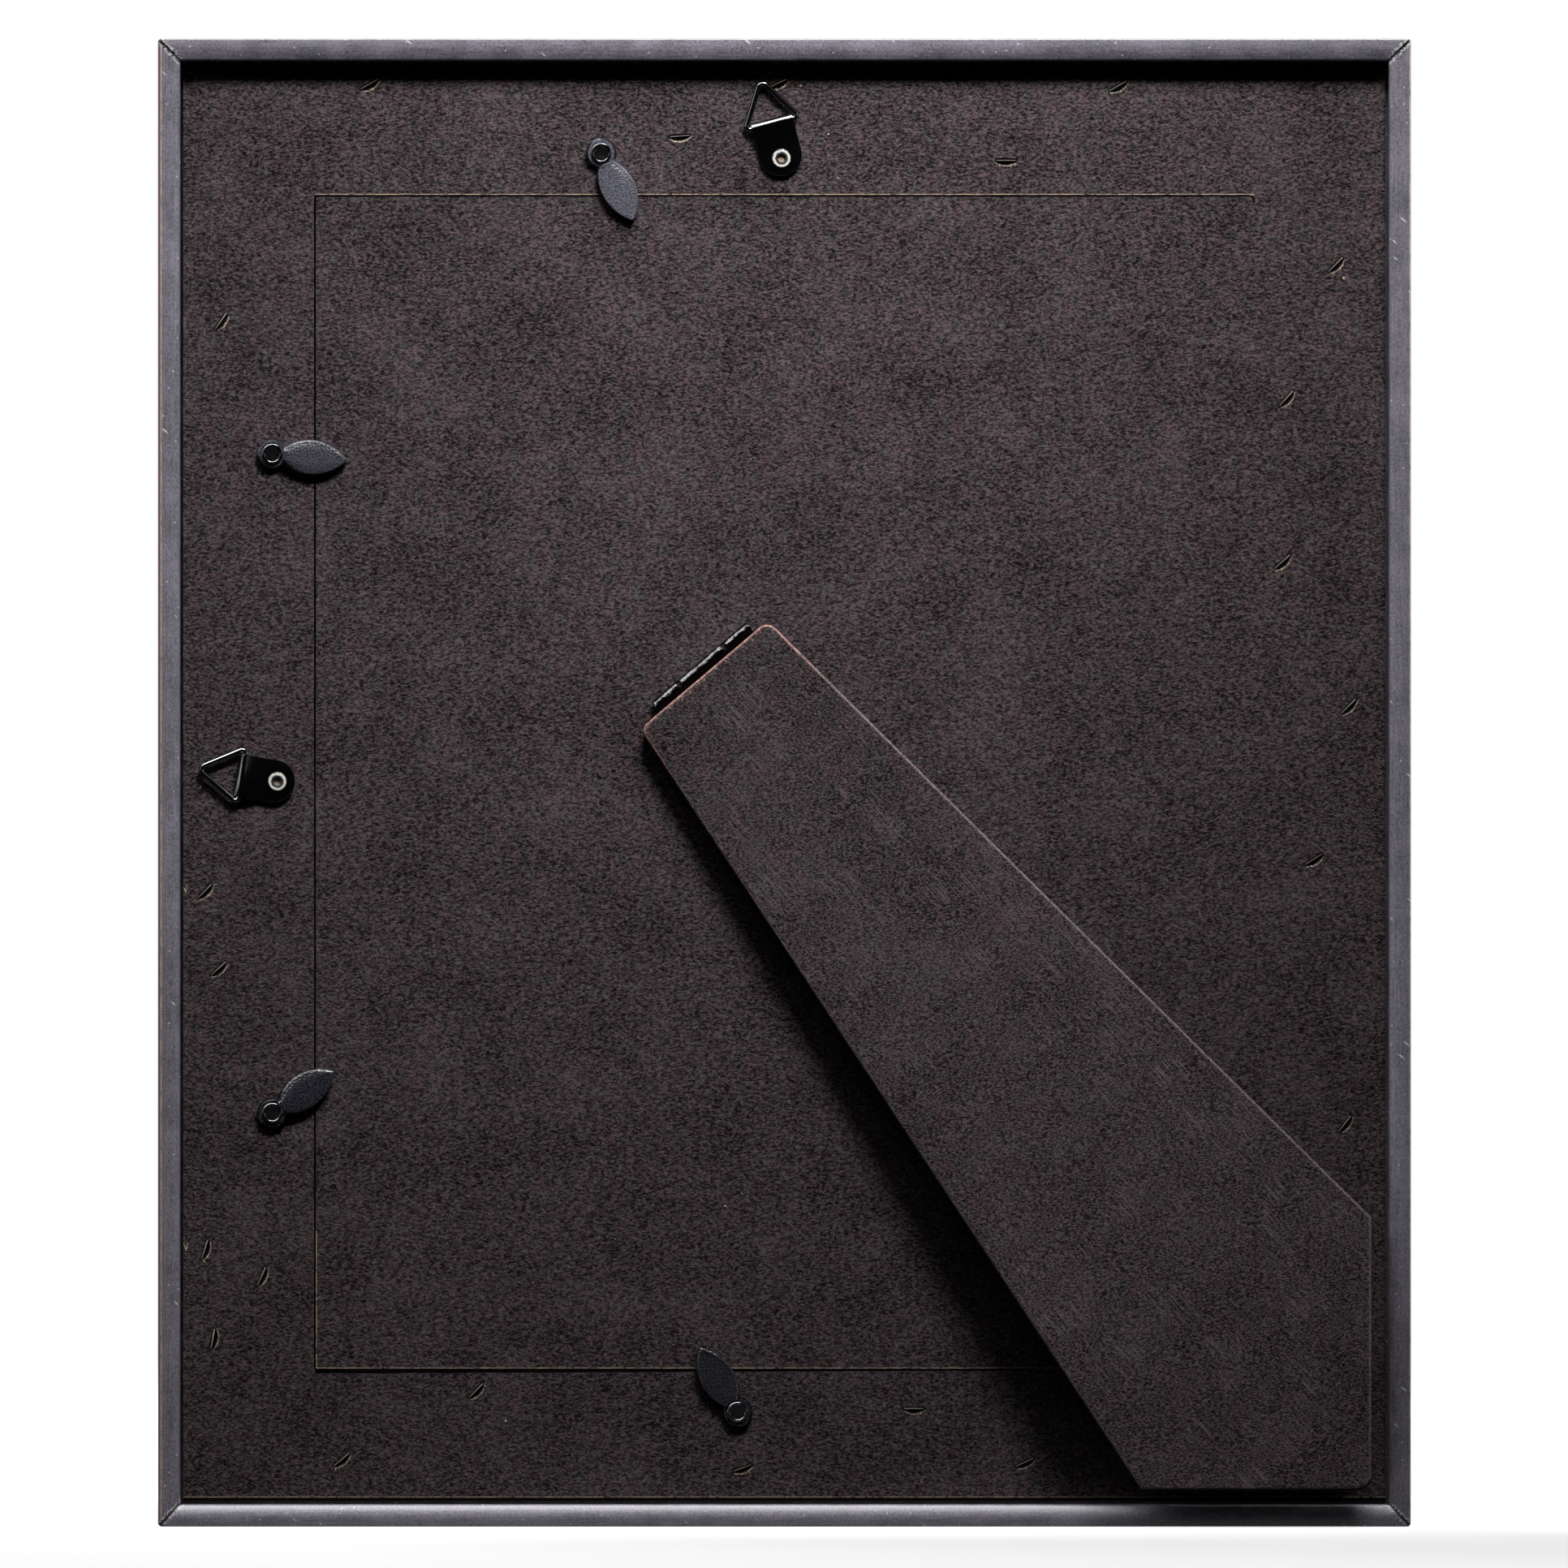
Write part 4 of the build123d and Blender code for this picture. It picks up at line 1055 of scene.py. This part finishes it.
# Uncoated paper: flat white with a faint cloud of fibre when the light is low.
paper, tree, place = blank_material("uncoated_blank_paper")
fibre = add(tree, "ShaderNodeTexNoise", {
    "Vector": place, "Scale": per_mm(FIBRE_WIDE), "Detail": 4.0, "Roughness": 0.7,
})
front_colour = add(tree, "ShaderNodeMix", {
    0: fibre, COLOUR_A: linear("e6e3dc"), COLOUR_B: linear("f4f2ee"),
}, **COLOUR_MIX)
# Painted shade: the back of the sheet is coloured near black, so nothing pale shows through the
# eyelets.
facing = add(tree, "ShaderNodeTexCoord", output="Normal")
turned_back = add(tree, "ShaderNodeSeparateXYZ", {"Vector": facing}, output="Y")
sheet_back_shade = add(tree, "ShaderNodeMath", {0: turned_back, 1: 0.5}, operation="GREATER_THAN")
paper_colour = add(tree, "ShaderNodeMix", {
    0: sheet_back_shade, COLOUR_A: front_colour, COLOUR_B: linear("0a0a0a"),
}, **COLOUR_MIX)
paper_bump = add(tree, "ShaderNodeBump", {
    "Height": fibre, "Strength": 0.15, "Distance": FIBRE_HIGH,
})
paper_skin = add(tree, "ShaderNodeBsdfPrincipled", {
    "Base Color": paper_colour, "Roughness": 0.85, "Specular IOR Level": 0.2,
    "Normal": paper_bump,
})
add(tree, "ShaderNodeOutputMaterial", {"Surface": paper_skin})
dress(paper, "photo_insert")

# %% [markdown]
# ## Staples with rounded wire
#
# A staple is bent from wire whose edges are rounded, and that rounding is where it glints. The
# loaded staples have sharp edges. A copy is merged, its flat faces are joined, and every edge is
# bevelled, so the new staples lie exactly where the old ones are and take their place.

# %% Round the staples and find their crowns
WIRE_ROUND = 0.16 * MM
WIRE_HALF = 0.25 * MM
SAME_POINT = 0.001 * MM
SAME_LEVEL = 0.01 * MM
FLAT_WITHIN = math.radians(1)
NEARLY_LONGEST = 0.9


def merged_copy(name):
    """A bmesh of a loaded piece, with its loose triangles merged and its flat faces joined."""
    bm = bmesh.new()
    bm.from_mesh(nodes[name].data)
    bmesh.ops.remove_doubles(bm, verts=bm.verts, dist=SAME_POINT)
    bmesh.ops.dissolve_limit(bm, angle_limit=FLAT_WITHIN, verts=bm.verts, edges=bm.edges)
    return bm


staple_bm = merged_copy("backing_staples")
crown_y = max(vert.co.y for vert in staple_bm.verts)
crown_edges = [
    edge for edge in staple_bm.edges
    if all(crown_y - vert.co.y < SAME_LEVEL for vert in edge.verts)
]
longest = max(edge.calc_length() for edge in crown_edges)
long_edges = [edge for edge in crown_edges if edge.calc_length() > NEARLY_LONGEST * longest]
# Each crown: its middle, the direction along it and the direction up across it.
crowns = []
for face in staple_bm.faces:
    sides = [edge for edge in face.edges if edge in long_edges]
    if len(sides) == 2 and face.normal.y > LOOKS_BACK:
        along = sides[0].verts[1].co - sides[0].verts[0].co
        along = -along if along.x > 0 else along
        up = BACKWARDS.cross(along.normalized())
        crowns.append((face.calc_center_median(), along.normalized(), -up if up.z < 0 else up))
bmesh.ops.bevel(staple_bm, geom=staple_bm.edges, offset=WIRE_ROUND, offset_type="OFFSET",
                segments=2, profile=0.5, affect="EDGES", clamp_overlap=True, material=-1)
crown_layer = staple_bm.verts.layers.float.new("across_crown")
for vert in staple_bm.verts:
    centre, along, up = min(crowns, key=lambda crown: (crown[0] - vert.co).length)
    on_top = crown_y - vert.co.y < 2 * WIRE_ROUND
    vert[crown_layer] = (vert.co - centre).dot(up) / WIRE_HALF if on_top else 1.0
rounded_staples = piece_from(staple_bm, "rounded_staples", wire_finish)
rounded_staples.data.shade_smooth()
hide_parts("backing_staples")
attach(rounded_staples, "frame")
print(len(crowns), "staples,", len(rounded_staples.data.polygons), "faces")

# %% [markdown]
# ## Straps with eased edges
#
# The hanger straps are punched from sheet and tumbled, which eases their edges, and each edge shows
# as a thin grey line round the black flat. The same treatment as for the staples does that: a
# merged copy, bevelled on its sharp edges only, takes the place of each strap. Edges that turn
# sharply stay sharp for shading, so the flats mirror as flats.

# %% Ease the strap edges
STRAP_EASE = 0.14 * MM
SHARP_OVER = math.radians(50)
SHADED_SHARP = math.radians(20)

for side in ("top", "left"):
    strap_bm = merged_copy(f"hanger_strap_{side}")
    sharp = [edge for edge in strap_bm.edges if edge.calc_face_angle(0) > SHARP_OVER]
    bmesh.ops.bevel(strap_bm, geom=sharp, offset=STRAP_EASE, offset_type="OFFSET",
                    segments=3, profile=0.5, affect="EDGES", clamp_overlap=True, material=-1)
    enamel = bpy.data.materials["thin_black_enamel_on_steel"]
    eased_strap = piece_from(strap_bm, f"eased_strap_{side}", enamel)
    eased_strap.data.shade_smooth()
    eased_strap.data.set_sharp_from_angle(angle=SHADED_SHARP)
    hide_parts(f"hanger_strap_{side}")
    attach(eased_strap, f"strap_{side}")
    print(eased_strap.name, "with", len(eased_strap.data.polygons), "faces")

# %% [markdown]
# ## Torn fibre round the staples
#
# The staple gun breaks the dyed skin. Below each crown the raw core is pushed up into a ragged tan
# lip, and single fibres stand out round it. From behind, that lip is the brightest thing on the
# board, because it faces the light. It could be painted on, but then it would not catch light or
# throw a shadow. Each lip starts as a small grid that is bent along the slit's bowed lower edge,
# and a seeded generator frays it, so that every run gives the same fibres.

# %% Raw fibre
TUFT_WIDE = 0.45
TUFT_HIGH = 0.1 * MM
# Each kind: the colour in its hollows and at its fibre ends.
RAW_FIBRES = {
    "raw_hardboard_core_torn": ("6e5444", "f2dcc4"),
    "raw_hardboard_edge_fuzz": ("b07a6e", "fadcd4"),
}
for name, (hollow, tip) in RAW_FIBRES.items():
    # Raw hardboard: pale fibre ends that scatter light, so it looks bright and dry.
    material, tree, place = blank_material(name)
    tuft = add(tree, "ShaderNodeTexNoise", {
        "Vector": place, "Scale": per_mm(TUFT_WIDE), "Detail": 3.0, "Roughness": 0.7,
    })
    pale = add(tree, "ShaderNodeMapRange", {"Value": tuft, "From Min": 0.34, "From Max": 0.52})
    colour = add(tree, "ShaderNodeMix", {
        0: pale, COLOUR_A: linear(hollow), COLOUR_B: linear(tip),
    }, **COLOUR_MIX)
    # Painted shade: the lip's two inner rows, down in the slit, are coloured near black for the
    # slit's shadow.
    painted_slit_shade = add(tree, "ShaderNodeAttribute", output="Fac", attribute_name="inside_tear")
    colour = add(tree, "ShaderNodeMix", {
        0: painted_slit_shade, COLOUR_A: colour, COLOUR_B: linear("060504"),
    }, **COLOUR_MIX)
    bump = add(tree, "ShaderNodeBump", {"Height": tuft, "Strength": 0.6, "Distance": TUFT_HIGH})
    skin = add(tree, "ShaderNodeBsdfPrincipled", {
        "Base Color": colour, "Roughness": 0.85, "Specular IOR Level": 0.2, "Normal": bump,
    })
    add(tree, "ShaderNodeOutputMaterial", {"Surface": skin})
raw_fibre = bpy.data.materials["raw_hardboard_core_torn"]
edge_fuzz = bpy.data.materials["raw_hardboard_edge_fuzz"]
print(", ".join(RAW_FIBRES), "ready")

# %% [markdown]
# The lip is a strip with four rows: one down in the slit, one at its edge, the crest just above the
# face, and one that dives back into the board. Its inner side lies in the slit's shadow, so an
# attribute marks the two inner rows, which get a painted shade, near black, and only the crest is
# raw. Solidify closes it into a thin shell.

# %% Tear lips
SLIT_HALF = 2.4 * MM
SLIT_END, SLIT_LOWER = 0.3 * MM, 1.0 * MM
# Each row of a lip, in mm: how far it lies across from the slit's edge and above the face.
LIP_ROWS = ((0.1, -0.4), (-0.14, 0.02), (-0.3, 0.1), (-0.42, -0.06))
INNER_ROWS = 2
LIP_STEPS = 22
# Where a lip starts and stops, as shares of half the slit, and how much it thins to its ends.
LIP_START, LIP_STOP = (-1.0, -0.8), (0.7, 1.0)
LIP_THINS = 0.6
LIP_FRAY = 0.06 * MM
LIP_SKIN = 0.06 * MM
FRAY_SEED = 11


def slit_bow(run):
    """How far below its crown's middle a slit's lower edge lies, from -1 to 1 along it."""
    return SLIT_END + (SLIT_LOWER - SLIT_END) * (1 - run * run)


fray = random.Random(FRAY_SEED)
last_row = len(LIP_ROWS) - 1
lip_bm = bmesh.new()
inside_layer = lip_bm.verts.layers.float.new("inside_tear")
for centre, along, up in crowns:
    made = bmesh.ops.create_grid(lip_bm, x_segments=LIP_STEPS, y_segments=last_row, size=1.0)
    start, stop = fray.uniform(*LIP_START), fray.uniform(*LIP_STOP)
    for vert in made["verts"]:
        run = start + (vert.co.x + 1) / 2 * (stop - start)
        row = round((vert.co.y + 1) / 2 * last_row)
        inward, rise = LIP_ROWS[row]
        vert[inside_layer] = 1.0 if row < INNER_ROWS else 0.0
        thin = 1 - LIP_THINS * run * run
        across = -slit_bow(run) + inward * thin * MM + fray.gauss(0, LIP_FRAY)
        spot = centre + along * (run * SLIT_HALF + fray.gauss(0, LIP_FRAY)) + up * across
        level = face_y + (rise * thin) * MM + fray.gauss(0, LIP_FRAY / 2)
        vert.co = (spot.x, level, spot.z)
for face in lip_bm.faces:
    if face.normal.y < 0:
        face.normal_flip()
bmesh.ops.solidify(lip_bm, geom=lip_bm.faces, thickness=LIP_SKIN)
tear_lips = piece_from(lip_bm, "staple_tear_lips", raw_fibre)
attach(tear_lips, "frame")
print("tear lips:", len(tear_lips.data.polygons), "faces")

# %% [markdown]
# ## Loose fibres and splinters
#
# A few fibres curl out of each tear, and the board's left edge has splintered in two places. A
# fibre is a slim cone: its long edges are cut, and the cuts are moved sideways so that it curls. It
# lies nearly flat, with its root in the board.

# %% Fibres
LONG_EDGE = 0.9
FIBRE_CUTS = 3
# A fibre rises most at half of this share of its length.
LIFT_SPAN = 1.6

straight_bm = bmesh.new()
bmesh.ops.create_cone(straight_bm, cap_ends=True, segments=4, radius1=0.5, radius2=0.15, depth=1.0)
long_edges = [edge for edge in straight_bm.edges if edge.calc_length() > LONG_EDGE]
bmesh.ops.subdivide_edges(straight_bm, edges=long_edges, cuts=FIBRE_CUTS)
straight_fibre = bpy.data.meshes.new("straight_fibre")
straight_bm.to_mesh(straight_fibre)
straight_bm.free()


def curled_fibre(bm, root, heading, length, thick, curl, lift):
    """Adds a fibre from its root on the board along a heading in the board's plane."""
    before = len(bm.verts)
    bm.from_mesh(straight_fibre)
    bm.verts.ensure_lookup_table()
    side = BACKWARDS.cross(heading)
    for vert in bm.verts[before:]:
        share = vert.co.z + 0.5
        aside = vert.co.x * thick + curl * share * share
        rise = vert.co.y * thick + lift * share * (LIFT_SPAN - share)
        vert.co = root + heading * (share * length) + side * aside + Vector((0, rise, 0))


FIBRES_EACH = 4
FIBRE_ROOT = 0.03 * MM
FIBRE_FAN = 1.1
# The least and most of a fibre's length, thickness, curl and lift in mm.
FIBRE_SIZES = ((0.4, 0.9), (0.08, 0.16), (-0.4, 0.4), (0.05, 0.3))
# Where the board's left edge has splintered, across and up in mm, and which way splinters point.
SPLINTERS = ((129.5, 59.6), (129.6, 137.2))
SPLINTER_TURNS = (0.25, -0.3)
SPLINTER_ROOT = 0.1 * MM
# The least and most of a splinter's length in mm, and its thickness, curl and lift.
SPLINTER_LONG = (1.2, 2.0)
SPLINTER_SIZES = (0.3 * MM, 0.2 * MM, 0.25 * MM)

fibre_bm = bmesh.new()
for centre, along, up in crowns:
    for _ in range(FIBRES_EACH):
        run = fray.uniform(-1, 1)
        root = centre + along * (run * SLIT_HALF) - up * slit_bow(run)
        root.y = face_y - FIBRE_ROOT
        angle = fray.uniform(-FIBRE_FAN, FIBRE_FAN)
        heading = (along * (run + math.sin(angle)) - up * math.cos(angle)).normalized()
        shape = [fray.uniform(*span) * MM for span in FIBRE_SIZES]
        curled_fibre(fibre_bm, root, heading, *shape)
for across, height in SPLINTERS:
    for turn in SPLINTER_TURNS:
        root = Vector((across * MM, face_y - SPLINTER_ROOT, height * MM))
        heading = Vector((turn, 0, 1)).normalized()
        length = fray.uniform(*SPLINTER_LONG) * MM
        curled_fibre(fibre_bm, root, heading, length, *SPLINTER_SIZES)
torn_fibres = piece_from(fibre_bm, "torn_fibres", raw_fibre)
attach(torn_fibres, "frame")
print("fibres:", len(crowns) * FIBRES_EACH, "with", len(torn_fibres.data.polygons), "faces")

# %% [markdown]
# The leg's rubbed edge is furred too, most of all at the hinge end. The faces of its rounding are
# the ones that lean away from the flat face, so fibres are rooted on those, chosen by area, and
# laid inwards over the edge.

# %% Fuzz on the leg's edge
FUZZ_COUNT = 170
FUZZ_REACH = 16 * MM
FUZZ_ROOT = 0.05 * MM
FUZZ_FAN = 0.9
# How alike the normals of a face of the rounding and of the flat face are, from least to most.
LEAN = (0.55, 0.97)
# The least and most of a fibre's length, thickness, curl and lift in mm.
FUZZ_SIZES = ((0.4, 1.0), (0.07, 0.13), (-0.25, 0.25), (0.12, 0.3))

leg_mesh = nodes["easel_leg"].data
leaning = []
for face in leg_mesh.polygons:
    down = (face.center - hinge_place).dot(leg_run)
    if down < FUZZ_REACH and LEAN[0] < face.normal.dot(leg_normal) < LEAN[1]:
        leaning.append(face)
fuzz_bm = bmesh.new()
for face in fray.choices(leaning, weights=[face.area for face in leaning], k=FUZZ_COUNT):
    corners = [leg_mesh.vertices[i].co for i in face.vertices]
    shares = [fray.random() for _ in corners]
    root = sum((corner * share for corner, share in zip(corners, shares)), Vector()) / sum(shares)
    outward = (face.normal - leg_normal * face.normal.dot(leg_normal)).normalized()
    aside = leg_normal.cross(outward) * fray.uniform(-FUZZ_FAN, FUZZ_FAN)
    shape = [fray.uniform(*span) * MM for span in FUZZ_SIZES]
    curled_fibre(fuzz_bm, root - leg_normal * FUZZ_ROOT, (aside - outward).normalized(), *shape)
leg_fuzz = piece_from(fuzz_bm, "leg_edge_fuzz", edge_fuzz)
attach(leg_fuzz, "leg")
print("fuzz:", FUZZ_COUNT, "fibres on", len(leaning), "faces of the edge")

# %% [markdown]
# Crumbs of raw core lie on the face where the staple gun threw them. Each is a small ball of few
# faces with its corners pushed in and out, and its lower third sits in the felt.

# %% Crumbs
# Where the crumbs lie, across and up in mm, and their radius in mm.
CRUMBS = (
    (12.9, 69.2, 0.28), (-3.6, 311.7, 0.25), (-121.0, 270.1, 0.3), (-9.5, 301.3, 0.2),
    (-11.6, 291.8, 0.16), (126.4, 160.0, 0.2), (60.3, 22.8, 0.22),
)
CRUMB_ROUGH = (0.7, 1.15)

crumb_bm = bmesh.new()
for across, height, radius in CRUMBS:
    made = bmesh.ops.create_icosphere(crumb_bm, subdivisions=2, radius=radius * MM)
    centre = Vector((across * MM, face_y + radius / 3 * MM, height * MM))
    for vert in made["verts"]:
        vert.co = vert.co * fray.uniform(*CRUMB_ROUGH) + centre
crumbs = piece_from(crumb_bm, "crumbs_of_core", raw_fibre)
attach(crumbs, "frame")
print("crumbs:", len(CRUMBS), "with", len(crumbs.data.polygons), "faces")
